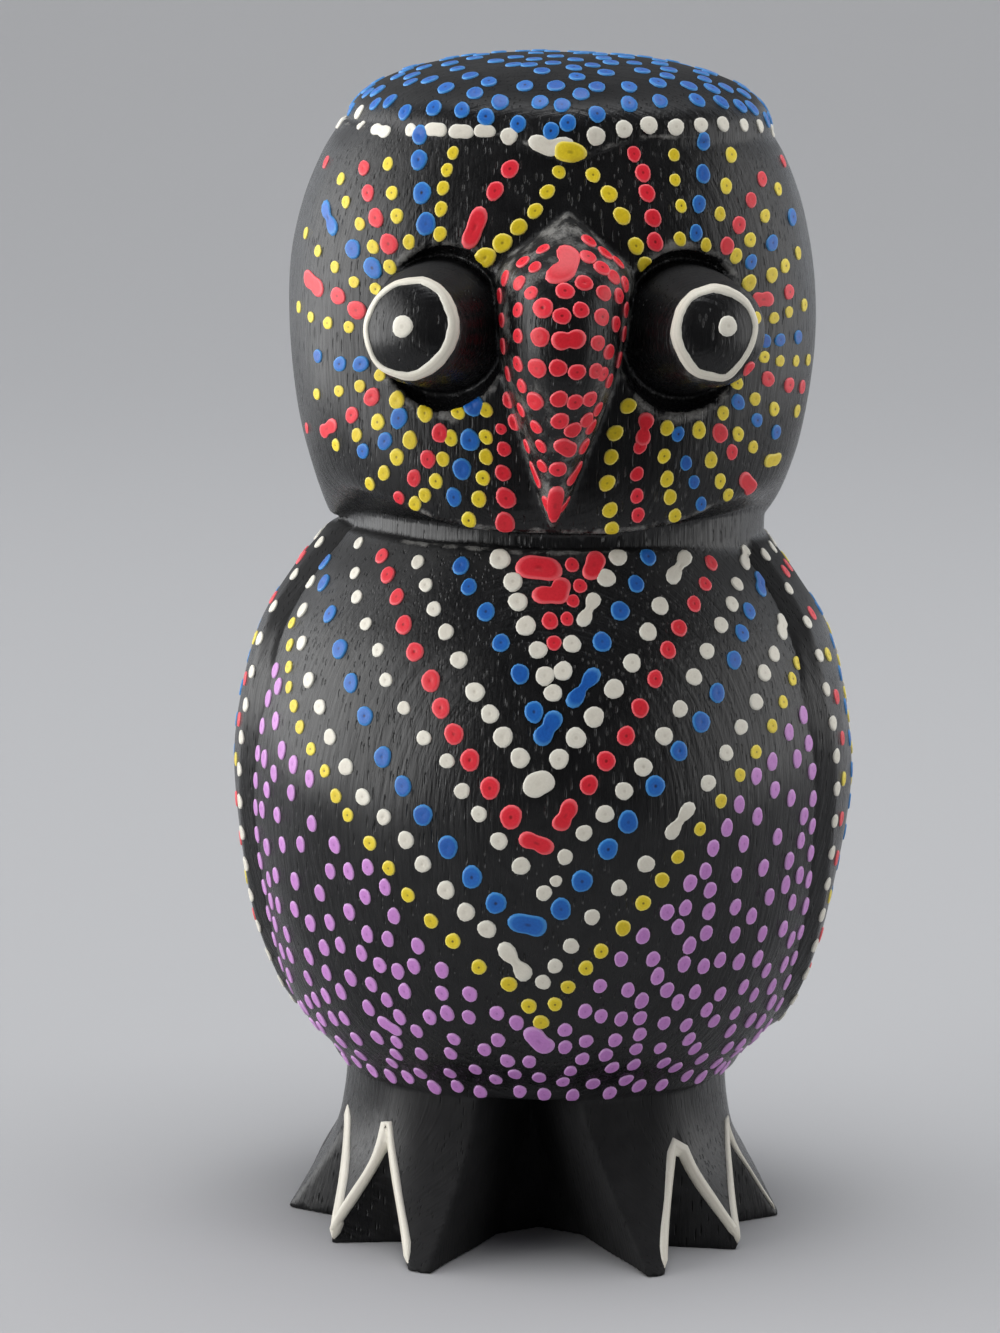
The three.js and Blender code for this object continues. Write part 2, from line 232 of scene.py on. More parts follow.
class Profile:
    """A smooth run of sections up an axis, read at any height."""

    def __init__(self, stations: tuple[Station, ...], front_power: float, back_power: float) -> None:
        """Keeps the stations and how square their sections are.

        Args:
            stations: Height, half-width, front depth and back depth of each station.
            front_power: The roundness of the front half, 2 for an ellipse.
            back_power: The roundness of the back half.
        """
        table = np.array(stations, float)
        count = len(table)
        before = table[np.maximum(np.arange(count) - 1, 0)]
        after = table[np.minimum(np.arange(count) + 1, count - 1)]
        self.heights = table[:, 0]
        self.sizes = table[:, 1:]
        self.slopes = (after[:, 1:] - before[:, 1:]) / (after[:, :1] - before[:, :1])
        self.front_power = front_power
        self.back_power = back_power

    def sizes_at(self, height: Array) -> Array:
        """Reads the half-width and the depths.

        Args:
            height: Heights to read at.

        Returns:
            Rows of half-width, front depth and back depth.
        """
        low = np.clip(np.searchsorted(self.heights, height, side="right") - 1, 0, len(self.heights) - 2)
        span = (self.heights[low + 1] - self.heights[low])[:, None]
        t = np.clip((height[:, None] - self.heights[low][:, None]) / span, 0.0, 1.0)
        rise = self.sizes[low] * (1 + 2 * t) * (1 - t) ** 2 + self.slopes[low] * span * t * (1 - t) ** 2
        fall = self.sizes[low + 1] * (3 - 2 * t) * t**2 - self.slopes[low + 1] * span * t**2 * (1 - t)
        return rise + fall

    def outside(self, points: Array) -> Array:
        """Measures how far points are outside the section at their own height.

        Args:
            points: Points as rows, with the profile's axis at x = y = 0.

        Returns:
            Signed distances across the axis.
        """
        sizes = self.sizes_at(points[:, 2])
        ahead = points[:, 1] < 0.0
        depth = np.where(ahead, sizes[:, 1], sizes[:, 2])
        power = np.where(ahead, self.front_power, self.back_power)
        across = np.abs(points[:, 0]) / sizes[:, 0] + 1e-6
        along = np.abs(points[:, 1]) / depth + 1e-6
        norm = squared_off(across, along, power)
        return np.hypot(points[:, 0], points[:, 1]) * (1.0 - 1.0 / norm)


class OutlineField:
    """The signed distance from a closed flat outline, kept on a grid and read between its points."""

    def __init__(self, outline: Array, margin: float = 5.0, pitch: float = 0.25) -> None:
        """Measures the outline once.

        Args:
            outline: Corners of the closed outline as rows.
            margin: How far the grid reaches past the outline.
            pitch: The distance between grid points.
        """
        self.pitch = pitch
        self.low = outline.min(0) - margin
        counts = np.ceil((outline.max(0) + margin - self.low) / pitch).astype(int) + 1
        across = self.low[0] + np.arange(counts[0]) * pitch
        up = self.low[1] + np.arange(counts[1]) * pitch
        grid = np.stack(np.meshgrid(across, up, indexing="ij"), axis=-1).reshape(-1, 2)
        nearest = np.full(len(grid), 1e9)
        inside = np.zeros(len(grid), bool)
        for start, end in zip(outline, np.roll(outline, -1, axis=0)):
            side = end - start
            share = np.clip(((grid - start) @ side) / max(side @ side, TINY), 0.0, 1.0)
            gap = grid - start - share[:, None] * side
            nearest = np.minimum(nearest, np.hypot(gap[:, 0], gap[:, 1]))
            spans = (start[1] > grid[:, 1]) != (end[1] > grid[:, 1])
            rise = side[1] if abs(side[1]) > TINY else TINY
            crossing = start[0] + (grid[:, 1] - start[1]) * side[0] / rise
            inside ^= spans & (grid[:, 0] < crossing)
        self.values = np.where(inside, -nearest, nearest).reshape(tuple(counts))

    def at(self, across: Array, up: Array) -> Array:
        """Reads the distance at flat points.

        Args:
            across: First coordinates.
            up: Second coordinates.

        Returns:
            Signed distances, negative inside the outline.
        """
        limit = np.array(self.values.shape) - 1.001
        u = np.clip((across - self.low[0]) / self.pitch, 0.0, limit[0])
        v = np.clip((up - self.low[1]) / self.pitch, 0.0, limit[1])
        i, j = u.astype(int), v.astype(int)
        fu, fv = u - i, v - j
        lower = self.values[i, j] * (1 - fu) + self.values[i + 1, j] * fu
        upper = self.values[i, j + 1] * (1 - fu) + self.values[i + 1, j + 1] * fu
        return lower * (1 - fv) + upper * fv


@dataclass(frozen=True)
class WingPanels:
    """The two folded wings, low leaf-shaped panels with a cut groove round them."""

    raised: float = 0.9
    bevel: float = 1.4
    groove_depth: float = 0.65
    groove_middle: float = 0.32
    groove_width: float = 0.28
    facing: float = math.radians(12)
    turned: float = math.radians(-4.5)
    inner: float = 8.0
    edge_steps: int = 42

    def outline(self) -> Array:
        """Gives the closed outline, seen square on to a wing."""
        front = spline(WING_FRONT_EDGE, self.edge_steps)
        back = spline(WING_BACK_EDGE, self.edge_steps)
        return np.concatenate([front, back[1:]])

    def local(self, points: Array, side: int) -> Array:
        """Turns points so that a wing's outline lies in their second and third coordinates."""
        return turn_about_z(points, -(self.turned + side * self.facing))

    def edge_distance(self, points: Array, side: int, outline: OutlineField) -> Array:
        """Measures points against one wing's outline.

        Args:
            points: Points as rows.
            side: Which wing.
            outline: The wing's outline.

        Returns:
            Signed distances along the surface, large on the far side of the body.
        """
        turned = self.local(points, side)
        gap = outline.at(turned[:, 1], turned[:, 2])
        return np.where(side * turned[:, 0] > self.inner, gap, 9.0)

    def relief(self, gap: Array) -> Array:
        """Gives the height of the carving from the distance to the outline.

        Args:
            gap: Signed distances to the outline.

        Returns:
            How far the surface is raised, negative in the groove.
        """
        panel = self.raised * ramp(-gap, 0.0, self.bevel)
        groove = self.groove_depth * np.exp(-(((gap - self.groove_middle) / self.groove_width) ** 2))
        return panel - groove


@dataclass(frozen=True)
class TailPanel:
    """The tail, a narrow leaf-shaped panel low on the back."""

    top: float = 36.0
    bottom: float = 16.7
    bulge: float = 12.0
    bulge_height: float = 24.0
    raised: float = 1.2
    bevel: float = 0.4
    groove_depth: float = 0.45
    groove_middle: float = 0.35
    steps: int = 16

    def outline(self) -> Array:
        """Gives the closed outline, seen from behind.

        Returns:
            Its corners as rows.
        """
        t = np.linspace(0.0, 1.0, self.steps + 1)
        across = 2 * t * (1 - t) * self.bulge
        up = (1 - t) ** 2 * self.bottom + 2 * t * (1 - t) * self.bulge_height + t**2 * self.top
        right = np.stack([across, up], axis=1)
        left = np.stack([-across, up], axis=1)[::-1]
        return np.concatenate([right, left[1:-1]])

    def relief(self, gap: Array) -> Array:
        """Gives the height of the carving from the distance to the outline."""
        groove = self.groove_depth * np.exp(-(((gap - self.groove_middle) / self.groove_middle) ** 2))
        return self.raised * ramp(-gap, 0.0, self.bevel) - groove


class Trunk:
    """The round body, with its wings and tail in low relief."""

    top_edge: float = 0.5
    bottom_edge: float = 0.4

    def __init__(self) -> None:
        """Prepares the profile and the outlines of the relief."""
        self.profile = Profile(TRUNK_STATIONS, NEARLY_ROUND, NEARLY_ROUND)
        self.bottom = TRUNK_STATIONS[0][0]
        self.top = TRUNK_STATIONS[-1][0]
        self.wings = WingPanels()
        self.wing_outline = OutlineField(self.wings.outline())
        self.tail = TailPanel()
        self.tail_outline = OutlineField(self.tail.outline())

    def distance(self, points: Array) -> Array:
        """Measures points against the body.

        Args:
            points: Points as rows.

        Returns:
            Signed distances.
        """
        relief = np.zeros(len(points))
        for side in (-1, 1):
            relief += self.wings.relief(self.wings.edge_distance(points, side, self.wing_outline))
        gap = self.tail_outline.at(points[:, 0], points[:, 2])
        relief += np.where(points[:, 1] > 0.0, self.tail.relief(gap), 0.0)
        body = self.profile.outside(points) - relief
        capped = shared(body, points[:, 2] - self.top, self.top_edge)
        return shared(capped, self.bottom - points[:, 2], self.bottom_edge)


@dataclass(frozen=True)
class FaceDisc:
    """The flat face: its edge is a crease, and a plain bevel runs back from it to the neck."""

    height: float = 94.5
    half_width: float = 25.9
    above: float = 22.0
    below: float = 20.5
    power: float = 2.5
    edge_depth: float = 19.0
    bevel: float = 0.0098
    jaw_bevel: float = 0.005
    bevel_end: float = 10.0

    def distance(self, points: Array) -> Array:
        """Measures points against the space that the face and its bevel leave.

        Args:
            points: Points as rows.

        Returns:
            Signed distances.
        """
        up = points[:, 2] - self.height
        tall = np.where(up > 0.0, self.above, self.below)
        across = np.abs(points[:, 0]) / self.half_width
        norm = squared_off(across, np.abs(up) / tall, self.power, TINY)
        back = np.maximum(points[:, 1] + self.edge_depth, 0.0)
        reach = np.hypot(points[:, 0], up) + 1e-6
        beveled = np.minimum(back, self.edge_depth + self.bevel_end)
        jaw = 1.0 + np.maximum(-up / reach, 0.0) * self.jaw_bevel * beveled
        allowed = (1.0 + back * self.bevel) * jaw + np.maximum(points[:, 1] - self.bevel_end, 0.0)
        return (norm - allowed) * self.half_width * EASED


@dataclass(frozen=True)
class Eyes:
    """Two domed cones that lean outwards, each in an upright oval hollow."""

    across: float = 12.75
    height: float = 94.1
    depth: float = 21.6
    lean: float = math.radians(21)
    socket_across: float = 11.6
    socket_half_width: float = 6.5
    socket_half_height: float = 7.8
    socket_depth: float = 3.5
    socket_power: float = 2.6
    root: float = -4.5
    flank_radius: float = 6.1
    flank_taper: float = 0.19
    dome_top: float = 7.5
    dome_fall: float = 0.074
    dome_edge: float = 0.7
    root_edge: float = 0.1

    def axes(self, side: int) -> tuple[Array, Array]:
        """Gives the foot and the direction of an eye's axis, before the head is turned."""
        foot = np.array([side * self.across, -self.depth, self.height])
        return foot, np.array([side * math.sin(self.lean), -math.cos(self.lean), 0.0])

    def measured(self, points: Array, side: int) -> tuple[Array, Array]:
        """Measures points from an eye's axis.

        Args:
            points: Points as rows.
            side: 1 for the eye at +X, -1 at -X.

        Returns:
            Each point's distance from the axis and its place along it.
        """
        foot, axis = self.axes(side)
        gap = points - foot
        along = gap @ axis
        return np.sqrt(np.maximum((gap**2).sum(1) - along**2, 0.0)), along

    def ball(self, radius: Array, along: Array) -> Array:
        """Measures points against the cone and its dome."""
        flank = radius - (self.flank_radius - self.flank_taper * along)
        dome = (along - (self.dome_top - self.dome_fall * radius**2)) * EASED
        return shared(shared(flank, dome, self.dome_edge), self.root - along, self.root_edge)

    def socket(self, points: Array, side: int) -> Array:
        """Measures points against the hollow round an eye, which lies a little nearer the beak.

        Args:
            points: Points as rows.
            side: 1 for the eye at +X, -1 at -X.

        Returns:
            Signed distances.
        """
        foot, axis = self.axes(side)
        gap = points - foot + np.array([side * (self.across - self.socket_across), 0.0, 0.0])
        sideways = gap[:, 0] * axis[1] - gap[:, 1] * axis[0]
        radius = np.hypot(sideways / self.socket_half_width, gap[:, 2] / self.socket_half_height)
        norm = squared_off(radius, np.abs(gap @ axis) / self.socket_depth, self.socket_power, TINY)
        return (norm - 1.0) * self.socket_depth


@dataclass(frozen=True)
class CrownCap:
    """The low cap on the head, whose rim dips to a point over the beak."""

    base: float = 112.2
    rise: float = 8.0
    half_width: float = 21.55
    middle: float = 0.25
    lean: float = 0.06
    half_depth: float = 20.9
    doming: float = 2.3
    dip: float = 2.2
    dip_half_width: float = 6.4
    dip_forward: float = 0.7
    rim_edge: float = 0.3

    def distance(self, points: Array) -> Array:
        """Measures points against the cap.

        Args:
            points: Points as rows.

        Returns:
            Signed distances.
        """
        ahead = points[:, 1] < 0.0
        power = np.where(ahead, HEAD_FRONT, HEAD_BACK)
        x = points[:, 0] - self.middle - self.lean * np.maximum(points[:, 2] - self.base, 0.0)
        near = np.clip(1.0 - np.abs(x) / self.dip_half_width, 0.0, 1.0) * ahead
        across = np.abs(x) / self.half_width + 1e-6
        along = np.abs(points[:, 1]) / (self.half_depth + self.dip_forward * near) + 1e-6
        flat = squared_off(across, along, power)
        up = np.maximum(points[:, 2] - self.base, 0.0) / self.rise
        norm = squared_off(flat, up, self.doming)
        q = self.doming - 1.0
        steepness = np.hypot((flat / norm) ** q / self.half_width, (up / norm) ** q / self.rise)
        dome = (norm - 1.0) / np.maximum(steepness, 1.0 / self.half_width)
        return shared(dome, self.base - self.dip * near - points[:, 2], self.rim_edge)


@dataclass(frozen=True)
class BeakShape:
    """The arched wedge of the beak, which leans a little to one side."""

    root: float = 20.0
    lean: float = math.radians(1.8)
    lean_height: float = 98.0
    end_edge: float = 0.2

    def distance(self, points: Array, profile: Profile) -> Array:
        """Measures points against the beak.

        Args:
            points: Points as rows, before the head is turned.
            profile: The beak's sections, with their depth counted from its root.

        Returns:
            Signed distances.
        """
        c, s = math.cos(self.lean), math.sin(self.lean)
        up = points[:, 2] - self.lean_height
        x = points[:, 0] * c - up * s
        z = points[:, 0] * s + up * c + self.lean_height
        local = np.stack([x, points[:, 1] + self.root, z], axis=1)
        body = profile.outside(local) * EASED
        capped = shared(body, z - profile.heights[-1], self.end_edge)
        return shared(capped, profile.heights[0] - z, self.end_edge)


class Head:
    """The head with its crown, eyes and beak, turned a little on the neck."""

    turn: float = math.radians(2.5)
    beak_front: float = 2.5
    beak_back: float = 2.0
    face_edge: float = 0.7
    neck_edge: float = 0.5
    top_edge: float = 0.2
    crown_fillet: float = 0.15
    socket_edge: float = 0.35
    eye_fillet: float = 0.4
    beak_fillet: float = 0.35

    def __init__(self) -> None:
        """Prepares the profiles and features."""
        self.skull = Profile(HEAD_STATIONS, HEAD_FRONT, HEAD_BACK)
        self.beak_profile = Profile(BEAK_STATIONS, self.beak_front, self.beak_back)
        self.disc = FaceDisc()
        self.crown = CrownCap()
        self.eyes = Eyes()
        self.beak = BeakShape()

    def distance(self, points: Array) -> Array:
        """Measures points against the head.

        Args:
            points: Points as rows.

        Returns:
            Signed distances.
        """
        local = turn_about_z(points, -self.turn)
        block = shared(self.skull.outside(local), self.disc.distance(local), self.face_edge)
        block = shared(block, HEAD_STATIONS[0][0] - local[:, 2], self.neck_edge)
        block = shared(block, local[:, 2] - HEAD_STATIONS[-1][0], self.top_edge)
        form = merged(block, self.crown.distance(local), self.crown_fillet)
        for side in (-1, 1):
            radius, along = self.eyes.measured(local, side)
            form = shared(form, -self.eyes.socket(local, side), self.socket_edge)
            form = merged(form, self.eyes.ball(radius, along), self.eye_fillet)
        return merged(form, self.beak.distance(local, self.beak_profile), self.beak_fillet)


@dataclass(frozen=True)
class Channel:
    """A V cut into the skirt from outside, which leans sideways as it rises."""

    angle: float
    bottom: float
    half_angle: float
    lean: float
    top: float = 15.0

    def distance(self, points: Array) -> Array:
        """Measures points against the cut.

        Args:
            points: Points as rows.

        Returns:
            Signed distances.
        """
        local = turn_about_z(points, -self.angle)
        outward = -local[:, 1] - self.bottom
        across = np.abs(local[:, 0] - self.lean * local[:, 2])
        wedge = across * math.cos(self.half_angle) - outward * math.sin(self.half_angle)
        return np.maximum(wedge, local[:, 2] - self.top)


@dataclass(frozen=True)
class FootNotch:
    """The deep notch between the feet, with side walls that open forwards and a back wall like a prow."""

    slope: float = math.tan(math.radians(24.8))
    mouth: float = -11.6
    half_width: float = 4.45
    ground: Point = (0.5, -8.9, 0.0)
    point: Point = (0.0, -5.9, 9.8)
    top: Point = (-1.1, -7.6, 16.8)

    def distance(self, points: Array) -> Array:
        """Measures points against the cut.

        Args:
            points: Points as rows.

        Returns:
            Signed distances.
        """
        form = points[:, 2] - self.top[2]
        base = np.array(self.ground)
        for side in (-1, 1):
            corner = np.array([self.ground[0] + side * self.half_width, self.mouth, 0.0])
            ahead = np.array([side * self.slope, -1.0, 0.0])
            form = np.maximum(form, plane(points, corner, np.array(self.top) - corner, ahead * side))
            form = np.maximum(form, plane(points, base, np.array(self.point) - base, (corner - base) * side))
        return form


class Skirt:
    """The flared foot under the belly, cut into toes."""

    # A channel holds its angle from the front, the radius of its bottom, half of its opening angle, and
    # its leans on the left and on the right.
    toe_channels: tuple[tuple[float, float, float, Pair], ...] = (
        (41.5, 19.9, 43.0, (14.0, 6.0)),
        (67.5, 20.3, 53.5, (14.0, 14.0)),
        (96.0, 20.5, 48.0, (0.0, 0.0)),
    )

    toe_edge: float = 0.45
    ridge_foot: float = 0.7
    ridge_samples: int = 120
    past_rim: float = 12.0
    halvings: int = 30
    least_depth: float = 0.02

    def __init__(self) -> None:
        """Prepares the profile and the cuts."""
        self.profile = Profile(SKIRT_STATIONS, NEARLY_ROUND, NEARLY_ROUND)
        self.notch = FootNotch()
        self.channels = {}
        for number, (angle, bottom, half_angle, leans) in enumerate(self.toe_channels):
            for side, lean in zip((-1, 1), leans):
                leaning = side * math.tan(math.radians(lean))
                cut = Channel(math.radians(side * angle), bottom, math.radians(half_angle), leaning)
                self.channels[(number, side)] = cut

    def whole(self, points: Array) -> Array:
        """Measures points against the foot before it is cut."""
        return self.profile.outside(points) * EASED

    def ridge(self, number: int, side: int, wall: int, steps: int = 16) -> Array:
        """Follows the sharp edge where one wall of a channel comes out of the foot.

        Args:
            number: Which channel, counted from the front.
            side: 1 for the foot at +X, -1 at -X.
            wall: -1 for the wall nearer the front and 1 for the one further back.
            steps: How many points are kept.

        Returns:
            Points as rows, from near the ground up to where both walls meet.
        """
        channel = self.channels[(number, side)]

        def placed(heights: Array, outward: Array) -> Array:
            """Gives the points of the wall at set heights and distances from the axis."""
            across = side * wall * (outward - channel.bottom) * math.tan(channel.half_angle)
            across += channel.lean * heights
            return turn_about_z(np.stack([across, -outward, heights], axis=1), channel.angle)

        heights = np.linspace(self.ridge_foot, channel.top, self.ridge_samples)
        low = np.full(len(heights), channel.bottom)
        open_here = self.whole(placed(heights, low)) < -self.least_depth
        high = low + self.past_rim
        for _ in range(self.halvings):
            middle = (low + high) / 2
            inside = self.whole(placed(heights, middle)) < 0.0
            low, high = np.where(inside, middle, low), np.where(inside, high, middle)
        line = placed(heights, low)[open_here]
        return line[np.linspace(0, len(line) - 1, steps).round().astype(int)]

    def distance(self, points: Array) -> Array:
        """Measures points against the foot.

        Args:
            points: Points as rows.

        Returns:
            Signed distances.
        """
        form = np.maximum(self.whole(points), points[:, 2] - SKIRT_STATIONS[-1][0])
        for channel in self.channels.values():
            form = shared(form, -channel.distance(points), self.toe_edge)
        return shared(form, -self.notch.distance(points), self.toe_edge)


class OwlForm:
    """The whole carving as one signed form."""

    low: Array = np.array([-33.5, -33.0, -1.0])
    high: Array = np.array([33.5, 30.5, 121.0])
    neck_radius: float = 21.5
    neck_share: float = 0.955
    neck_middle: float = 0.8
    neck_span: Pair = (70.5, 76.0)
    unevenness: float = 0.11
    waves: int = 7
    wave_lengths: Pair = (9.0, 26.0)
    seed: int = 7
    neck_fillet: float = 0.3
    head_fillet: float = 0.25
    foot_fillet: float = 0.5
    ground_edge: float = 0.25
    stride: float = 0.6
    shortest_step: float = 0.01
    longest_step: float = 3.0
    touching: float = 0.005
    farthest: float = 80.0
    least_steep: float = 0.05

    def __init__(self) -> None:
        """Prepares the parts and the seeded unevenness of the handwork."""
        self.trunk = Trunk()
        self.head = Head()
        self.skirt = Skirt()
        draw = np.random.default_rng(self.seed)
        directions = unit(draw.normal(size=(self.waves, 3)))
        lengths = draw.uniform(*self.wave_lengths, self.waves)
        self.wave_vectors = directions * (2 * math.pi / lengths)[:, None]
        self.wave_starts = draw.uniform(0.0, 2 * math.pi, self.waves)

    def handwork(self, points: Array) -> Array:
        """Gives the slight unevenness that a knife leaves."""
        waves = np.sin(points @ self.wave_vectors.T + self.wave_starts)
        return waves.sum(1) * (self.unevenness / math.sqrt(self.waves))

    def distance(self, points: Array) -> Array:
        """Measures points against the owl.

        Args:
            points: Points as rows, in millimetres.

        Returns:
            Signed distances, negative inside the wood.
        """
        neck = np.hypot(points[:, 0] - self.neck_middle, points[:, 1] / self.neck_share) - self.neck_radius
        low, high = self.neck_span
        neck = np.maximum(neck, np.maximum(low - points[:, 2], points[:, 2] - high))
        form = merged(self.trunk.distance(points), neck, self.neck_fillet)
        form = merged(form, self.head.distance(points), self.head_fillet)
        form = merged(form, self.skirt.distance(points), self.foot_fillet)
        form = form + self.handwork(points)
        return shared(form, -points[:, 2], self.ground_edge)

    def gradient(self, points: Array, step: float = 0.05) -> Array:
        """Gives the slope of the signed form, which points out of the wood.

        Args:
            points: Points as rows.
            step: The distance over which the slope is measured.

        Returns:
            Slopes as rows.
        """
        rises = [self.distance(points + shift) - self.distance(points - shift) for shift in np.eye(3) * step]
        return np.stack(rises, axis=1) / (2 * step)

    def settle(self, points: Array, rounds: int = 3, reach: float = 0.4) -> Found:
        """Moves points onto the surface along its slope.

        Args:
            points: Points near the surface, as rows.
            rounds: How many corrections are made.
            reach: The largest move in one correction.

        Returns:
            The settled points and the outward normals there.
        """
        for _ in range(rounds):
            slope = self.gradient(points)
            steep = np.maximum((slope**2).sum(1), self.least_steep)
            move = self.distance(points) / steep
            step = slope * move[:, None]
            length = np.maximum(np.linalg.norm(step, axis=1), TINY)
            points = points - step * np.minimum(1.0, reach / length)[:, None]
        return points, unit(self.gradient(points))

    def struck(self, starts: Array, directions: Array, rounds: int = 90) -> Array:
        """Follows straight lines until they meet the surface, or to where they pass nearest to it.

        Args:
            starts: Where the lines start, outside the wood.
            directions: Their directions, of length 1.
            rounds: How many steps are taken at most.

        Returns:
            The points where they meet it or pass nearest.
        """
        travelled = np.zeros(len(starts))
        nearest = np.full(len(starts), np.inf)
        best = np.zeros(len(starts))
        running = np.arange(len(starts))
        for _ in range(rounds):
            gap = self.distance(starts[running] + directions[running] * travelled[running, None])
            closer = gap < nearest[running]
            nearest[running[closer]] = gap[closer]
            best[running[closer]] = travelled[running[closer]]
            travelled[running] += np.clip(gap * self.stride, self.shortest_step, self.longest_step)
            running = running[(gap > self.touching) & (travelled[running] < self.farthest)]
            if len(running) == 0:
                break
        return starts + directions * best[:, None]


class SurfaceNet:
    """Turns a signed form into a closed mesh of small quads."""

    def __init__(self, form: OwlForm, pitch: float) -> None:
        """Keeps the form and the grid.

        Args:
            form: The signed form.
            pitch: The distance between grid points in millimetres.
        """
        self.form = form
        self.pitch = pitch
        self.counts = np.ceil((form.high - form.low) / pitch).astype(int) + 1

    def sampled(self) -> Array:
        """Measures the form on the grid, layer by layer.

        Returns:
            The signed distance at every grid point.
        """
        axes = [self.form.low[i] + np.arange(self.counts[i]) * self.pitch for i in range(3)]
        flat = np.stack(np.meshgrid(axes[0], axes[1], indexing="ij"), axis=-1).reshape(-1, 2)
        values = np.empty(tuple(self.counts), np.float32)
        for k, height in enumerate(axes[2]):
            layer = np.column_stack([flat, np.full(len(flat), height)])
            values[:, :, k] = self.form.distance(layer).reshape(self.counts[0], self.counts[1])
        return values

    def mesh(self) -> tuple[Array, Array]:
        """Builds the mesh.

        Returns:
            The vertices, in millimetres, and the quads as rows of four vertex numbers.
        """
        values = self.sampled()
        inside = values < 0.0
        cells = tuple(self.counts - 1)
        corners = np.array([(i, j, k) for i in (0, 1) for j in (0, 1) for k in (0, 1)])

        def at_corner(source: Array, corner: Array) -> Array:
            """Views a grid array from one corner of every cell."""
            i, j, k = corner
            return source[i : i + cells[0], j : j + cells[1], k : k + cells[2]]

        total = np.zeros(cells, np.int8)
        for corner in corners:
            total += at_corner(inside, corner)
        active = (total > 0) & (total < 8)
        place = np.argwhere(active)
        number = np.full(cells, -1, np.int64)
        number[active] = np.arange(len(place))
        sums = np.zeros((len(place), 3))
        crossings = np.zeros(len(place))
        readings = [at_corner(values, corner)[active].astype(float) for corner in corners]
        for a in range(8):
            for b in range(a + 1, 8):
                if np.abs(corners[a] - corners[b]).sum() != 1:
                    continue
                crossed = (readings[a] < 0.0) != (readings[b] < 0.0)
                drop = np.where(crossed, readings[a] - readings[b], 1.0)
                share = np.where(crossed, readings[a] / drop, 0.0)
                point = corners[a] + share[:, None] * (corners[b] - corners[a])
                sums += point * crossed[:, None]
                crossings += crossed
        vertices = self.form.low + (place + sums / crossings[:, None]) * self.pitch
        return vertices, self.quads(inside, number)

    def quads(self, inside: Array, number: Array) -> Array:
        """Joins the cells round every grid edge that passes through the surface.

        Args:
            inside: Which grid points are inside the form.
            number: The vertex number of every cell.

        Returns:
            Quads as rows, facing out.
        """
        faces = []
        for axis in range(3):
            u, v = (axis + 1) % 3, (axis + 2) % 3
            first = np.moveaxis(inside, axis, 0)[:-1]
            second = np.moveaxis(inside, axis, 0)[1:]
            crossed = np.moveaxis(first != second, 0, axis)
            leaving = np.moveaxis(first & ~second, 0, axis)
            edges = np.argwhere(crossed)
            clear = (edges[:, u] > 0) & (edges[:, v] > 0)
            clear &= (edges[:, u] < number.shape[u]) & (edges[:, v] < number.shape[v])
            edges = edges[clear]
            outward = leaving[tuple(edges.T)]
            ring = []
            for du, dv in ((-1, -1), (0, -1), (0, 0), (-1, 0)):
                cell = edges.copy()
                cell[:, u] += du
                cell[:, v] += dv
                ring.append(number[tuple(cell.T)])
            quad = np.stack(ring, axis=1)
            faces.append(np.where(outward[:, None], quad, quad[:, ::-1]))
        return np.concatenate(faces)


def new_object(name: str, data: bpy.types.ID) -> Piece:
    """Puts an object with some data in the scene.

    Args:
        name: Its name.
        data: Its mesh, camera or lamp.

    Returns:
        The new object.
    """
    made = bpy.data.objects.new(name, data)
    bpy.context.scene.collection.objects.link(made)
    return made


def mesh_object(name: str, vertices: Array, faces: list[Array]) -> Piece:
    """Makes an object from points in millimetres.

    Args:
        name: The object's name.
        vertices: Points as rows, in millimetres.
        faces: Arrays of vertex numbers, one array for each number of corners.

    Returns:
        The new object, in metres, linked to the scene.
    """
    mesh = bpy.data.meshes.new(name)
    loops = np.concatenate([f.ravel() for f in faces])
    sizes = np.concatenate([np.full(len(f), f.shape[1]) for f in faces])
    starts = np.concatenate([[0], np.cumsum(sizes)[:-1]])
    mesh.vertices.add(len(vertices))
    mesh.vertices.foreach_set("co", (vertices * MM).astype(np.float32).ravel())
    mesh.loops.add(len(loops))
    mesh.loops.foreach_set("vertex_index", loops.astype(np.int32))
    mesh.polygons.add(len(sizes))
    mesh.polygons.foreach_set("loop_start", starts.astype(np.int32))
    mesh.update(calc_edges=True)
    mesh.validate()
    mesh.polygons.foreach_set("use_smooth", np.ones(len(mesh.polygons), bool))
    return new_object(name, mesh)


def vertices_of(piece: Piece) -> Array:
    """Reads an object's vertices in millimetres."""
    flat = np.empty(len(piece.data.vertices) * 3, np.float32)
    piece.data.vertices.foreach_get("co", flat)
    return flat.reshape(-1, 3).astype(float) / MM


def keep_values(piece: Piece, name: str, values: Array) -> None:
    """Stores one number for each vertex, which a material can read by its name."""
    attribute = piece.data.attributes.new(name, "FLOAT", "POINT")
    attribute.data.foreach_set("value", values.astype(np.float32))


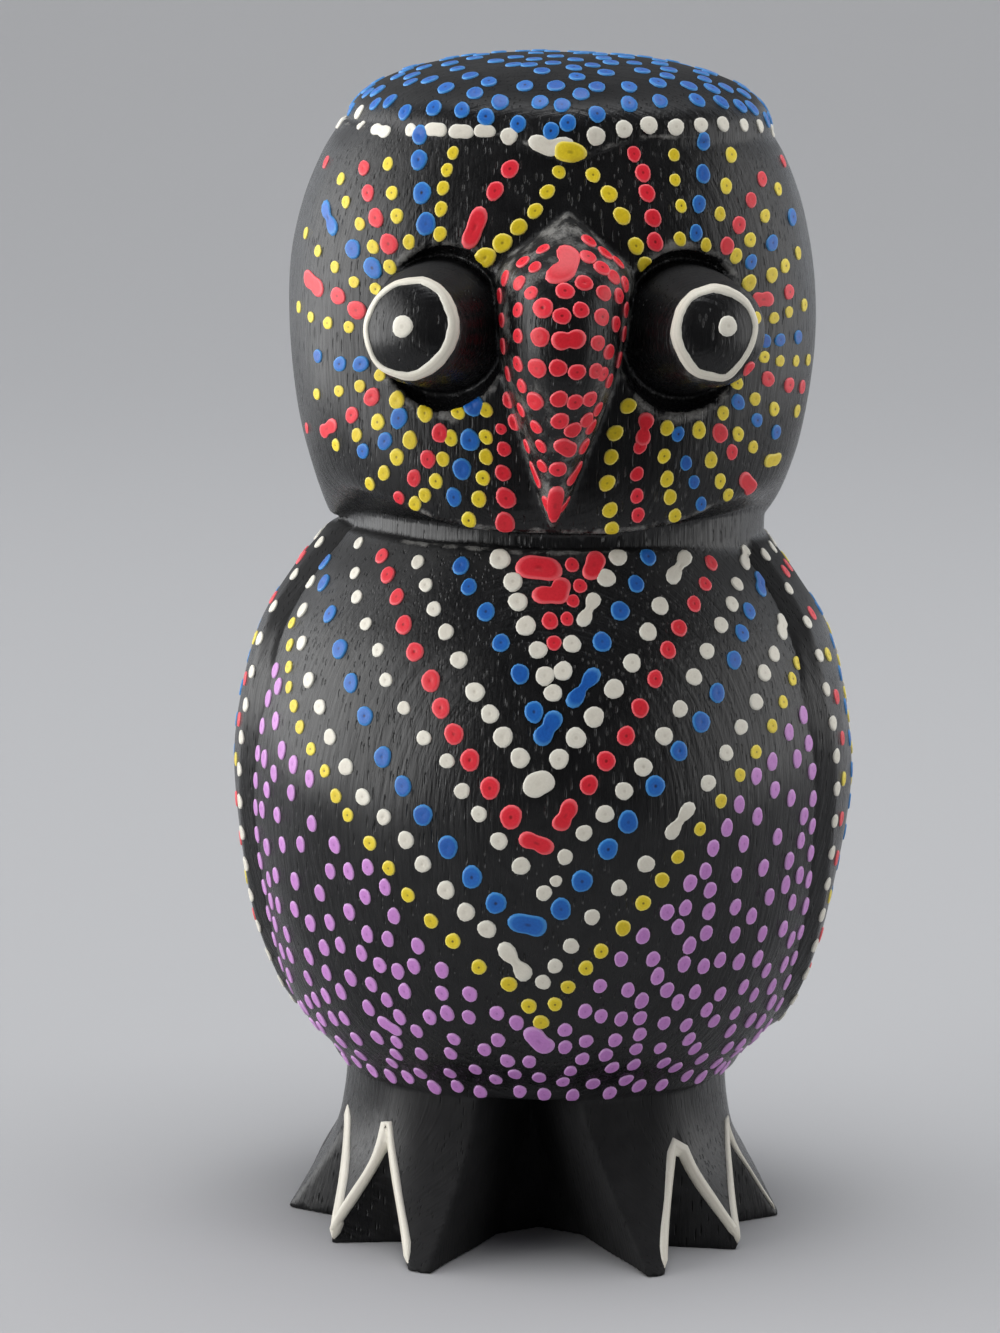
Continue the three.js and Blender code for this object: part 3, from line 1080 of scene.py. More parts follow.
@dataclass(frozen=True)
class EdgeWear:
    """Where the black is rubbed off the sharp edges, and where it is matt.

    A pair holds the value at which an effect starts and the one at which it is full, in millimetres where it
    is a place.
    """

    probe: float = 0.7
    sharpness: Pair = (0.3, 1.2)
    above_foot: Pair = (20.0, 30.0)
    flank: Pair = (13.0, 16.0)
    flank_loss: float = 0.85
    neck: float = 72.6
    neck_span: float = 1.6
    neck_gain: float = 0.6
    beak_gap: float = 0.24
    beak_gain: float = 0.7
    face_front: float = -19.0
    beak_root: Pair = (-33.0, -26.0)
    facing_up: Pair = (0.5, 0.88)
    foot_top: Pair = (15.5, 17.5)
    foot_side: Pair = (11.0, 17.0)

    def mark(self, owl: Piece, form: OwlForm) -> None:
        """Stores how worn and how matt the paint is at each vertex.

        Args:
            owl: The owl's object.
            form: The form that it was made from.
        """
        points = vertices_of(owl)
        around = -6.0 * form.distance(points)
        for shift in np.eye(3) * self.probe:
            ahead, behind = form.distance(points + shift), form.distance(points - shift)
            around += ahead + behind
        upward = (ahead - behind) / (2 * self.probe)
        aside, height = np.abs(points[:, 0]), points[:, 2]
        worn = ramp(around / self.probe**2, *self.sharpness) * ramp(height, *self.above_foot)
        worn *= 1.0 - self.flank_loss * (ramp(aside, *self.flank) * (height < form.neck_span[1]))
        at_neck = np.exp(-(((height - self.neck) / self.neck_span) ** 2))
        head = form.head
        gap = head.beak.distance(turn_about_z(points, -head.turn), head.beak_profile)
        beside_beak = np.exp(-((gap / self.beak_gap) ** 2)) * (points[:, 1] < self.face_front)
        beside_beak = beside_beak * ramp(points[:, 1], *self.beak_root)
        worn = worn + self.neck_gain * at_neck * worn + self.beak_gain * beside_beak
        keep_values(owl, "worn", np.clip(worn, 0.0, 1.0))
        foot = (1.0 - ramp(height, *self.foot_top)) * (1.0 - ramp(aside, *self.foot_side))
        foot *= points[:, 1] < 0.0
        keep_values(owl, "matt", np.maximum(ramp(upward, *self.facing_up), foot))


@dataclass
class Carving:
    """The carved block itself, at the fineness of knife marks."""

    form: OwlForm
    wear: EdgeWear = EdgeWear()
    pitch: float = 0.42
    quick_pitch: float = 0.8
    most_triangles: int = 192_000

    def build(self) -> Piece:
        """Makes the carved owl and stores where its edges are worn.

        Returns:
            The owl's object, with no material yet.
        """
        pitch = self.pitch
        vertices, quads = SurfaceNet(self.form, pitch).mesh()
        vertices, _ = self.form.settle(vertices, rounds=2, reach=pitch * 0.35)
        owl = mesh_object("owl_carving", vertices, [quads])
        triangles = 2 * len(quads)
        if triangles > self.most_triangles:
            self.thin(owl, self.most_triangles / triangles)
        self.wear.mark(owl, self.form)
        return owl

    def thin(self, owl: Piece, share: float) -> None:
        """Collapses the smallest faces where the surface is plain.

        Args:
            owl: The owl's object.
            share: The share of triangles to keep.
        """
        modifier = owl.modifiers.new("thin", "DECIMATE")
        modifier.ratio = share
        graph = bpy.context.evaluated_depsgraph_get()
        thinned = bpy.data.meshes.new_from_object(owl.evaluated_get(graph))
        owl.modifiers.clear()
        owl.data = thinned
        owl.data.name = owl.name
        owl.data.polygons.foreach_set("use_smooth", np.ones(len(thinned.polygons), bool))


@dataclass(frozen=True)
class PhotoView:
    """The camera of the photograph, seen from its front left and a little above."""

    focal_pixels: float = 4067.0
    distance: float = 415.0
    height: float = 126.0
    side: float = -4.6
    pitch: float = math.radians(9.4)
    roll: float = math.radians(1.0)
    sensor: float = 36.0
    nearest: float = 0.01
    farthest: float = 20.0

    def axes(self) -> tuple[Array, Array, Array]:
        """Gives the directions of the picture.

        Returns:
            The picture's right, its up and the way that the camera looks.
        """
        forward = np.array([0.0, math.cos(self.pitch), -math.sin(self.pitch)])
        up = np.array([0.0, math.sin(self.pitch), math.cos(self.pitch)])
        right = np.array([1.0, 0.0, 0.0])
        c, s = math.cos(self.roll), math.sin(self.roll)
        return right * c + up * s, up * c - right * s, forward

    def eye(self) -> Array:
        """Gives the camera's place in millimetres."""
        return np.array([self.side, -self.distance, self.height])

    def directions(self, pixels: Array) -> Array:
        """Gives the lines of sight through pixels of the photograph.

        Args:
            pixels: Pixel places as rows, from the top left corner.

        Returns:
            Directions of length 1 as rows.
        """
        right, up, forward = self.axes()
        u = (pixels[:, 0] - PHOTO_WIDTH / 2) / self.focal_pixels
        v = (PHOTO_HEIGHT / 2 - pixels[:, 1]) / self.focal_pixels
        return unit(forward + u[:, None] * right + v[:, None] * up)

    def seen(self, form: OwlForm, pixels: Array) -> Found:
        """Finds where pixels of the photograph fall on the wood.

        Args:
            form: The owl's form.
            pixels: Pixel places as rows.

        Returns:
            Points and outward normals as rows.
        """
        lines = self.directions(pixels)
        away = (self.distance - OUTSIDE) / lines[:, 1]
        starts = self.eye() + lines * away[:, None]
        return form.settle(form.struck(starts, lines), rounds=1)

    def pixels(self, points: Array) -> Array:
        """Gives the pixels at which points appear.

        Args:
            points: Points as rows.

        Returns:
            Pixel places as rows.
        """
        right, up, forward = self.axes()
        gap = points - self.eye()
        away = gap @ forward
        x = PHOTO_WIDTH / 2 + self.focal_pixels * (gap @ right) / away
        y = PHOTO_HEIGHT / 2 - self.focal_pixels * (gap @ up) / away
        return np.stack([x, y], axis=1)

    def build(self) -> None:
        """Makes the scene's camera."""
        data = bpy.data.cameras.new("camera")
        data.sensor_width = self.sensor
        data.lens = self.focal_pixels / PHOTO_HEIGHT * self.sensor
        data.clip_start = self.nearest
        data.clip_end = self.farthest
        camera = new_object("camera", data)
        right, up, forward = self.axes()
        turn = Matrix((right, up, -forward)).transposed().to_4x4()
        camera.matrix_world = Matrix.Translation(Vector(self.eye() * MM)) @ turn
        bpy.context.scene.camera = camera


class Paint(Enum):
    """The colours that the dots are painted in."""

    RED = "red"
    BLUE = "blue"
    YELLOW = "yellow"
    CREAM = "cream"
    LILAC = "lilac"


@dataclass(frozen=True)
class Trail:
    """A row of dots along a line through pixels of the photograph."""

    paint: Paint
    points: Line
    radius: float
    last_radius: float = 0.0
    count: int = 0

    def sizes(self) -> Array:
        """Gives the radius of each dot."""
        return np.linspace(self.radius, self.last_radius or self.radius, self.count or len(self.points))

    def places(self) -> Array:
        """Puts a dot at each point, or spreads a set count of them evenly along the line.

        Returns:
            One pixel for each dot, as rows.
        """
        line = np.array(self.points, float)
        if not self.count:
            return line
        lengths = lengths_along(line)
        return read_along(line, lengths, np.linspace(0.0, lengths[-1], self.count))


@dataclass(frozen=True)
class Blot:
    """Dots that ran together into one patch, along a line through pixels of the photograph."""

    paint: Paint
    points: Line
    radius: float
    waist: float


R, B, Y, W, L = Paint.RED, Paint.BLUE, Paint.YELLOW, Paint.CREAM, Paint.LILAC

LEFT_EYE_RAYS: tuple[Trail, ...] = (
    Trail(Y, ((559, 172), (537, 209), (506, 240), (485, 258)), 0.62, 0.98, count=6),
    Trail(R, ((510, 169), (495, 191)), 0.88),
    Trail(Y, ((453, 153), (447, 170), (443, 188), (441, 209), (440, 234)), 0.58, 0.72),
    Trail(B, ((420, 135), (419, 160), (422, 193), (426, 224)), 0.88, 1.0),
    Trail(Y, ((388, 164), (392, 193), (397, 216), (409, 242)), 0.62, 0.7),
    Trail(R, ((364, 168), (368, 193), (376, 218), (389, 244)), 0.72, 0.9),
    Trail(R, ((326, 162),), 0.7),
    Trail(Y, ((341, 179), (346, 202), (360, 224), (373, 247), (390, 267)), 0.6, 0.66),
    Trail(B, ((353, 249), (373, 268)), 0.88, 0.98),
    Trail(Y, ((306, 233), (318, 251), (335, 267), (354, 282), (376, 289)), 0.62),
    Trail(R, ((338, 296), (357, 310)), 0.88, 0.98),
    Trail(Y, ((299, 307), (311, 317), (328, 323), (349, 327)), 0.62),
    Trail(B, ((318, 356), (340, 364), (361, 364)), 0.68, 0.8),
    Trail(Y, ((317, 394), (339, 391), (360, 386), (380, 375)), 0.63),
    Trail(R, ((307, 428), (352, 415), (372, 397)), 0.6, 0.9),
    Trail(Y, ((336, 445), (357, 435), (378, 422), (397, 400)), 0.62, 0.85),
    Trail(B, ((363, 451), (385, 441), (399, 418)), 0.76, 0.9),
    Trail(Y, ((370, 484), (384, 473), (397, 457), (410, 440), (425, 413)), 0.66, 0.86),
    Trail(R, ((399, 498), (414, 478), (428, 459), (440, 433)), 0.68, 0.88),
    Trail(Y, ((415, 504), (425, 495), (436, 481), (443, 459), (451, 438), (458, 412)), 0.68, 0.72),
    Trail(B, ((454, 497), (462, 469), (470, 440), (473, 405)), 0.86, 1.08),
    Trail(Y, ((469, 520), (479, 499), (483, 478), (486, 457), (486, 437), (486, 410)), 0.74, 0.68),
    Trail(R, ((505, 523), (506, 498), (503, 473), (504, 449), (501, 429)), 1.05, 0.56),
)
RIGHT_EYE_RAYS: tuple[Trail, ...] = (
    Trail(Y, ((593, 175), (609, 194), (622, 216), (636, 246), (645, 265)), 0.74, 0.86),
    Trail(R, ((634, 154), (643, 173), (647, 193), (653, 218), (655, 242)), 0.74, 0.82),
    Trail(Y, ((674, 155), (675, 180), (681, 206), (680, 239)), 0.58, 0.66),
    Trail(B, ((703, 142), (703, 174), (699, 204), (696, 233)), 0.8, 0.74),
    Trail(Y, ((731, 155), (726, 186), (720, 214), (706, 245)), 0.72, 0.6),
    Trail(R, ((783, 161), (762, 179), (751, 200), (739, 225), (727, 246)), 0.66, 0.82),
    Trail(Y, ((778, 189), (765, 216), (750, 240), (736, 256)), 0.64, 0.7),
    Trail(B, ((792, 217), (772, 243), (751, 262)), 0.86, 0.74),
    Trail(Y, ((798, 253), (785, 266), (772, 275), (749, 283)), 0.64, 0.78),
    Trail(R, ((789, 292),), 0.8),
    Trail(Y, ((804, 305), (789, 312), (774, 318), (757, 318)), 0.64),
    Trail(B, ((798, 337), (780, 340), (765, 341)), 0.72),
    Trail(Y, ((808, 360), (796, 361), (780, 361), (764, 357)), 0.62),
    Trail(R, ((802, 387), (789, 385), (768, 379), (749, 369)), 0.78),
    Trail(Y, ((797, 411), (774, 409), (755, 399), (737, 383)), 0.7),
    Trail(B, ((776, 432), (757, 420), (738, 402)), 0.74),
    Trail(Y, ((753, 447), (738, 434), (723, 413)), 0.64, 0.7),
    Trail(R, ((732, 452), (720, 433)), 0.72, 0.86),
    Trail(Y, ((728, 495), (720, 481), (711, 460), (699, 430)), 0.68, 0.82),
    Trail(B, ((701, 504), (694, 482), (686, 463), (678, 434)), 0.65),
    Trail(Y, ((675, 516), (670, 497), (667, 479), (664, 456), (667, 428)), 0.7),
    Trail(R, ((638, 515), (637, 496), (637, 474), (640, 447)), 0.68),
    Trail(Y, ((612, 529), (610, 510), (607, 483), (611, 457), (615, 433), (628, 406)), 0.74),
)
FACE_BLOTS: tuple[Blot, ...] = (
    Blot(R, ((481, 213), (469, 242)), 0.82, 1.0),
    Blot(B, ((325, 206), (334, 229)), 0.86, 0.5),
    Blot(R, ((307, 277), (320, 289)), 0.84, 0.95),
    Blot(R, ((323, 432), (333, 425)), 0.72, 0.8),
    Blot(R, ((768, 299), (757, 300)), 0.76, 0.85),
    Blot(Y, ((767, 461), (778, 459)), 0.68, 0.9),
    Blot(R, ((744, 479), (752, 489)), 0.8, 0.95),
    Blot(R, ((646, 420), (643, 438)), 0.82, 0.34),
)
RIM_ROW: tuple[Trail, ...] = (
    Trail(W, ((359, 112), (361, 125)), 0.9, 0.6),
    Trail(W, ((411, 130),), 0.75),
    Trail(W, ((509, 136),), 0.85),
    Trail(W, ((596, 136), (624, 129), (649, 125), (676, 127)), 0.98, 0.86),
    Trail(W, ((701, 125), (723, 124), (744, 125), (760, 126)), 0.8, 0.72),
)
RIM_BLOTS: tuple[Blot, ...] = (
    Blot(W, ((375, 129), (386, 132)), 0.68, 0.75),
    Blot(W, ((430, 129), (441, 130)), 0.66, 1.0),
    Blot(W, ((455, 131), (467, 132)), 0.68, 1.0),
    Blot(W, ((479, 131), (490, 131)), 0.6, 1.0),
    Blot(W, ((534, 142), (549, 148), (568, 145)), 0.85, 0.9),
    Blot(Y, ((563, 151), (577, 153)), 0.98, 1.0),
)
BEAK_COLUMNS: tuple[Line, ...] = (
    ((505, 278), (500, 296), (502, 320), (503, 346), (508, 374), (509, 400), (515, 422)),
    ((523, 262), (519, 283), (518, 310), (518, 336), (518, 364), (522, 386), (521, 410), (527, 446)),
    ((543, 249), (535, 267), (531, 293), (536, 427), (541, 446), (542, 466)),
    ((543, 308), (540, 337), (537, 368), (535, 401)),
    ((565, 291), (562, 316), (558, 368), (559, 399), (560, 421), (558, 469)),
    ((589, 241), (588, 257), (584, 283), (581, 310), (577, 372), (575, 402), (573, 430)),
    (
        (605, 253), (602, 268), (604, 293), (602, 317), (598, 343), (596, 371), (590, 399), (587, 420),
        (584, 446),
    ),
    ((618, 262), (614, 277), (619, 296), (616, 324), (609, 352), (603, 374), (598, 409), (591, 427)),
    ((625, 284), (626, 310), (624, 334), (609, 381)),
)
BEAK_RADII: tuple[float, ...] = (0.78, 0.74, 0.7, 1.0, 0.86, 0.84, 0.84, 0.78, 0.74)
BEAK_BLOTS: tuple[Blot, ...] = (
    Blot(R, ((562, 249), (571, 256), (568, 272), (551, 277)), 0.86, 1.0),
    Blot(R, ((561, 341), (577, 339)), 0.95, 0.72),
    Blot(R, ((562, 445), (570, 450)), 0.85, 0.95),
    Blot(R, ((532, 466), (539, 484)), 0.6, 0.95),
    Blot(R, ((579, 467), (571, 480)), 0.72, 0.9),
    Blot(R, ((557, 491), (554, 506), (554, 518)), 0.85, 1.0),
    Blot(R, ((545, 500), (550, 510)), 0.55, 1.0),
    Blot(R, ((568, 500), (562, 509)), 0.5, 1.0),
)
BROW_DOT = Trail(R, ((619, 360),), 0.85)
WHITE_CLUSTER = Trail(W, ((563, 671), (545, 676), (553, 693)), 0.98)
PUPILS: tuple[Trail, ...] = (
    Trail(W, ((402.5, 326.5),), 1.08),
    Trail(W, ((727.8, 326.3),), 1.02),
)
CROWN_FRONT = Trail(
    B,
    (
        (390, 101), (405, 112), (434, 108), (462, 110), (486, 117), (518, 124), (551, 131), (568, 123),
        (597, 114), (562, 105), (540, 102), (500, 102), (475, 93), (446, 88), (470, 76), (489, 82),
        (525, 86), (556, 86), (581, 94), (597, 87), (577, 77), (606, 73), (629, 87), (629, 104),
        (660, 101), (658, 83), (697, 100), (689, 86), (642, 71), (669, 70), (701, 73), (721, 102),
        (712, 89), (726, 88), (740, 106), (752, 108), (430, 80), (450, 64), (412, 76), (378, 91),
        (542, 71), (574, 68), (611, 63), (514, 65), (529, 65),
    ),
    0.87,
)
BREAST_ROWS: tuple[Trail, ...] = (
    Trail(R, ((572, 565), (580, 586), (573, 601)), 0.74, 0.68),
    Trail(R, ((550, 621), (554, 643)), 0.84, 0.76),
    Trail(R, ((567, 619),), 0.7),
    Trail(W, ((500, 559), (513, 582), (518, 602), (526, 626), (538, 650)), 1.1, 0.96),
    Trail(W, ((618, 557), (606, 578), (572, 644)), 1.0, 0.9),
    Trail(B, ((461, 566), (469, 587), (486, 612), (501, 643), (520, 674), (534, 712)), 0.86, 0.96),
    Trail(B, ((648, 557), (636, 584), (620, 611), (602, 642)), 0.86, 1.02),
    Trail(W, ((418, 562), (426, 585), (434, 609), (446, 632), (459, 660)), 0.77, 0.92),
    Trail(W, ((475, 692), (490, 714), (503, 737), (520, 758)), 0.98, 1.04),
    Trail(W, ((660, 606), (648, 632), (632, 663)), 0.92, 1.0),
    Trail(W, ((614, 689), (594, 717), (576, 738), (559, 759)), 1.04),
    Trail(R, ((382, 556), (388, 575), (397, 597), (404, 625), (415, 652)), 0.84, 0.96),
    Trail(R, ((431, 681), (441, 708), (454, 734), (470, 760), (490, 788), (511, 817)), 1.02, 1.1),
    Trail(R, ((711, 563), (705, 584), (694, 604), (679, 628), (668, 650)), 0.78, 0.84),
    Trail(R, ((655, 679), (640, 708), (626, 736), (606, 761), (589, 785)), 0.9, 0.94),
    Trail(W, ((359, 543), (355, 573), (357, 597), (366, 624), (378, 650), (386, 680), (404, 708)), 0.76),
    Trail(W, ((424, 738), (447, 761), (462, 791), (479, 814), (499, 841), (521, 866)), 0.8, 0.92),
    Trail(W, ((737, 584), (732, 604), (721, 625), (707, 651), (694, 677), (680, 709)), 0.8, 0.92),
    Trail(W, ((664, 736), (643, 767), (624, 791), (605, 814), (584, 833), (565, 857)), 0.96, 0.86),
    Trail(W, ((556, 881), (544, 893)), 0.66, 0.88),
    Trail(B, ((325, 562), (324, 583), (330, 614), (340, 649), (351, 683), (365, 716), (383, 757)), 0.9, 0.98),
    Trail(B, ((403, 786), (423, 815), (448, 847), (472, 877), (496, 903)), 1.02, 1.1),
    Trail(B, ((749, 611), (742, 633), (734, 660), (717, 693), (701, 722), (679, 751)), 0.84, 1.0),
    Trail(B, ((655, 786), (628, 822), (608, 849), (582, 881), (561, 909)), 1.06, 1.04),
    Trail(W, ((311, 582), (303, 610), (302, 643), (309, 680), (320, 707), (330, 737)), 0.84),
    Trail(W, ((346, 767), (363, 797), (384, 817), (406, 840), (423, 864)), 0.86, 0.9),
    Trail(W, ((446, 890), (466, 912), (487, 929)), 0.98),
    Trail(W, ((774, 654), (764, 673), (756, 702), (741, 727), (726, 753)), 0.88),
    Trail(W, ((708, 783), (646, 864), (619, 888), (592, 917), (571, 946), (555, 966)), 0.9, 0.78),
    Trail(W, ((543, 982),), 0.86),
    Trail(Y, ((292, 623), (290, 645), (289, 667), (289, 687), (294, 706), (300, 727), (311, 749)), 0.68),
    Trail(Y, ((325, 771), (336, 796), (348, 815), (370, 843), (389, 868)), 0.7, 0.75),
    Trail(Y, ((408, 895), (431, 921), (453, 941), (479, 967), (509, 984), (529, 1006)), 0.74, 0.88),
    Trail(Y, ((797, 663), (792, 679), (783, 702), (772, 726), (756, 752), (740, 775), (721, 801)), 0.72),
    Trail(Y, ((700, 829), (678, 857), (662, 880), (643, 903), (623, 928)), 0.74, 0.84),
    Trail(Y, ((601, 951), (586, 968), (568, 987), (555, 1004)), 0.78, 0.74),
    Trail(Y, ((541, 1022),), 0.84),
)
BREAST_BLOTS: tuple[Blot, ...] = (
    Blot(R, ((526, 567), (538, 568), (552, 569)), 1.18, 1.0),
    Blot(R, ((596, 559), (592, 572)), 0.96, 0.9),
    Blot(R, ((541, 595), (558, 596), (562, 585)), 0.94, 0.85),
    Blot(W, ((594, 599), (584, 620)), 0.84, 0.3),
    Blot(W, ((535, 786), (542, 782)), 1.2, 1.0),
    Blot(W, ((685, 556), (673, 577)), 0.94, 0.2),
    Blot(B, ((593, 675), (574, 700)), 0.94, 0.35),
    Blot(B, ((554, 719), (542, 738)), 0.96, 0.7),
    Blot(B, ((759, 577), (761, 591)), 0.8, 0.7),
    Blot(R, ((570, 807), (561, 824)), 0.9, 0.75),
    Blot(R, ((527, 839), (546, 847)), 0.86, 0.85),
    Blot(W, ((744, 552), (744, 565)), 0.8, 0.7),
    Blot(W, ((782, 620), (782, 633)), 0.85, 0.7),
    Blot(W, ((688, 809), (671, 833)), 0.9, 0.3),
    Blot(B, ((518, 922), (538, 927)), 1.02, 0.95),
    Blot(W, ((507, 951), (524, 973)), 1.02, 0.3),
    Blot(L, ((533, 1035), (545, 1046)), 1.05, 0.95),
    Blot(L, ((383, 1022), (396, 1030)), 0.75, 0.9),
)
LILAC_FRONT = Trail(
    L,
    (
        (394, 916), (388, 939), (418, 946), (414, 966), (442, 970), (380, 965), (405, 991), (442, 993),
        (470, 994), (497, 1013), (469, 1017), (430, 1017), (387, 1000), (454, 1039), (498, 1040), (417, 1031),
        (397, 1042), (585, 1011), (601, 1016), (565, 1030), (621, 959), (600, 986), (628, 990), (643, 936),
        (667, 912), (678, 927), (690, 883), (710, 890), (713, 848), (706, 933), (653, 959), (684, 964),
        (720, 960), (667, 990), (695, 992), (720, 994), (640, 1018), (664, 1023), (686, 1025), (714, 1021),
        (615, 1040), (586, 1041), (636, 1049), (660, 1048), (689, 1039),
    ),
    0.75,
)
YELLOW_EDGE: Line = (
    (291, 621), (286, 686), (325, 771), (370, 842), (431, 921), (480, 966), (541, 1023),
    (555, 1003), (625, 928), (680, 857), (718, 802), (770, 735), (797, 661),
)


@dataclass
class DotSpot:
    """One dot, or several that ran together, before it is seated on the wood."""

    paint: Paint
    places: Array
    normals: Array
    radius: float
    tall: float = 1.0
    waist: float = 0.75


@dataclass
class DotBrush:
    """Seats raised dots of paint on the wood."""

    form: OwlForm
    view: PhotoView
    rings: tuple[float, ...] = (0.0, 0.16, 0.42, 0.7, 0.88, 0.97, 1.0)
    heights: tuple[float, ...] = (0.94, 0.95, 0.98, 1.0, 0.92, 0.6, -0.3)
    around: int = 14
    thickness: float = 0.17
    thick_radius: float = 0.8
    thickest: float = 1.25
    size_spread: Pair = (0.91, 1.02)
    thickness_spread: Pair = (0.8, 1.15)
    dimple_radius: float = 0.16
    deepest_dimple: float = 0.4
    wobble: tuple[tuple[int, float], ...] = ((2, 0.035), (3, 0.03), (5, 0.018))
    patch_steps: int = 9
    face_low: float = 76.0
    face_high: float = 112.0
    face_front: float = -8.0
    belly_foot: Point = (0.0, 0.0, 17.0)
    spots: list[DotSpot] = field(default_factory=list)
    draw: Draw = field(default_factory=lambda: np.random.default_rng(23))

    def facing(self, angles: Array, heights: Array) -> Found:
        """Finds points on the wood by where they lie round the axis.

        Args:
            angles: Angles from the front, in radians.
            heights: Heights in millimetres.

        Returns:
            Points and outward normals as rows.
        """
        lines = np.stack([-np.sin(angles), np.cos(angles), np.zeros(len(angles))], axis=1)
        starts = -lines * OUTSIDE
        starts[:, 2] = heights
        return self.form.settle(self.form.struck(starts, lines), rounds=1)

    def add(self, paint: Paint, found: Found, sizes: Array | float, tall: float = 1.0) -> None:
        """Sets down one dot at each found point.

        Args:
            paint: The colour.
            found: Points and normals as rows.
            sizes: The radius of each dot, or of all.
            tall: How much taller than wide the dots are.
        """
        for place, normal, size in zip(*found, np.broadcast_to(sizes, len(found[0]))):
            own = size * self.draw.uniform(*self.size_spread)
            self.spots.append(DotSpot(paint, place[None], normal[None], own, tall))

    def add_seen(self, rows: list[Trail], blots: list[Blot], tall: dict[Paint, float]) -> None:
        """Sets down rows and patches that are given in pixels of the photograph.

        Args:
            rows: The rows of single dots.
            blots: The patches.
            tall: How much taller than wide the single dots of each colour are.
        """
        laid = [row.places() for row in rows] + [np.array(blot.points, float) for blot in blots]
        places, normals = self.view.seen(self.form, np.concatenate(laid))
        ends = np.cumsum([len(part) for part in laid])[:-1]
        found = list(zip(np.split(places, ends), np.split(normals, ends)))
        for row, (where, out) in zip(rows, found):
            self.add(row.paint, (where, out), row.sizes(), tall[row.paint])
        for blot, (where, out) in zip(blots, found[len(rows) :]):
            self.spots.append(DotSpot(blot.paint, where, out, blot.radius, waist=blot.waist))

    def outline(self, spot: DotSpot, flat: Array) -> Array:
        """Gives the distance from a spot's middle to its rim, all round.

        Args:
            spot: The dot or patch.
            flat: Its centres as rows, in the plane that touches the wood.

        Returns:
            One distance for each angle.
        """
        count = self.around if len(flat) == 1 else self.around * 2
        angles = np.arange(count) * (2 * math.pi / count)
        aim = np.stack([np.cos(angles), np.sin(angles)], axis=1)
        wobble = np.ones(count)
        for lobes, strength in self.wobble:
            wobble += strength * np.sin(lobes * angles + self.draw.uniform(0, ANY_PHASE))
        if len(flat) == 1:
            return spot.radius * wobble
        reach = np.full(count, spot.radius * 0.5)
        for start, end in zip(flat, flat[1:]):
            for share in np.linspace(0, 1, self.patch_steps):
                middle = start * (1 - share) + end * share
                size = spot.radius * (1.0 - (1.0 - spot.waist) * math.sin(math.pi * share))
                ahead = aim @ middle
                off = size**2 - (middle @ middle - ahead**2)
                far = ahead + np.sqrt(np.maximum(off, 0.0))
                reach = np.where((off > 0.0) & (far > reach), far, reach)
        for _ in range(2):
            reach = (np.roll(reach, 1) + 2 * reach + np.roll(reach, -1)) / 4
        return reach * wobble

    def aim(self, middle: Array) -> Array:
        """Gives the way in which a dot is drawn out: to the eye beside it, else to the belly's foot.

        Args:
            middle: The middle of the dot.

        Returns:
            A direction, not yet laid along the wood.
        """
        if not (self.face_low < middle[2] < self.face_high and middle[1] < self.face_front):
            return np.array(self.belly_foot) - middle
        head = self.form.head
        foot, axis = head.eyes.axes(1 if middle[0] > 0 else -1)
        return turn_about_z((foot + axis * head.eyes.dome_top)[None], head.turn)[0] - middle

    def shaped(self, spot: DotSpot) -> tuple[Array, Array, int]:
        """Lays out one spot in the plane that touches the wood.

        Args:
            spot: The dot or patch.

        Returns:
            Points, each point's share of the way to the rim, and the count around.
        """
        middle = spot.places.mean(0)
        normal = unit(spot.normals.mean(0)[None])[0]
        sideways = unit(np.cross(self.aim(middle), normal)[None])[0]
        upward = np.cross(normal, sideways)
        gaps = spot.places - middle
        flat = np.stack([gaps @ sideways, gaps @ upward], axis=1)
        reach = self.outline(spot, flat)
        count = len(reach)
        angles = np.arange(count) * (2 * math.pi / count)
        points = [middle]
        for ring in self.rings[1:]:
            across = np.cos(angles) * reach * ring
            up = np.sin(angles) * reach * ring * spot.tall
            points.extend(middle + across[:, None] * sideways + up[:, None] * upward)
        shares = np.concatenate([[0.0], np.repeat(self.rings[1:], count)])
        return np.array(points), shares, count

    def build(self, paint: Paint) -> Piece:
        """Makes all the dots of one colour.

        Args:
            paint: The colour.

        Returns:
            The new piece.
        """
        points, shares, tones, heights, triangles, quads = [], [], [], [], [], []
        start = 0
        for spot in [spot for spot in self.spots if spot.paint is paint]:
            laid, share, count = self.shaped(spot)
            lift = np.interp(share, self.rings, self.heights)
            thick = self.thickness * min(self.thickest, spot.radius / self.thick_radius)
            thick *= self.draw.uniform(*self.thickness_spread)
            dimple = self.draw.uniform(0.0, self.deepest_dimple)
            dimple = dimple * np.maximum(0.0, 1.0 - share / self.dimple_radius)
            points.append(laid)
            shares.append(share)
            tones.append(np.full(len(laid), self.draw.uniform(0.0, 1.0 / len(spot.places))))
            heights.append(thick * (lift - dimple))
            ring = np.arange(count)
            after = (ring + 1) % count
            triangles.append(start + np.stack([np.zeros(count, int), 1 + ring, 1 + after], axis=1))
            for level in range(len(self.rings) - 2):
                low, high = 1 + level * count, 1 + (level + 1) * count
                quads.append(start + np.stack([low + ring, high + ring, high + after, low + after], axis=1))
            start += len(laid)
        seated, normals = self.form.settle(np.concatenate(points), rounds=2, reach=0.6)
        raised = seated + normals * np.concatenate(heights)[:, None]
        piece = mesh_object(f"{paint.value}_dots", raised, [np.concatenate(triangles), np.concatenate(quads)])
        keep_values(piece, "rim", np.concatenate(shares))
        keep_values(piece, "tone", np.concatenate(tones))
        return piece


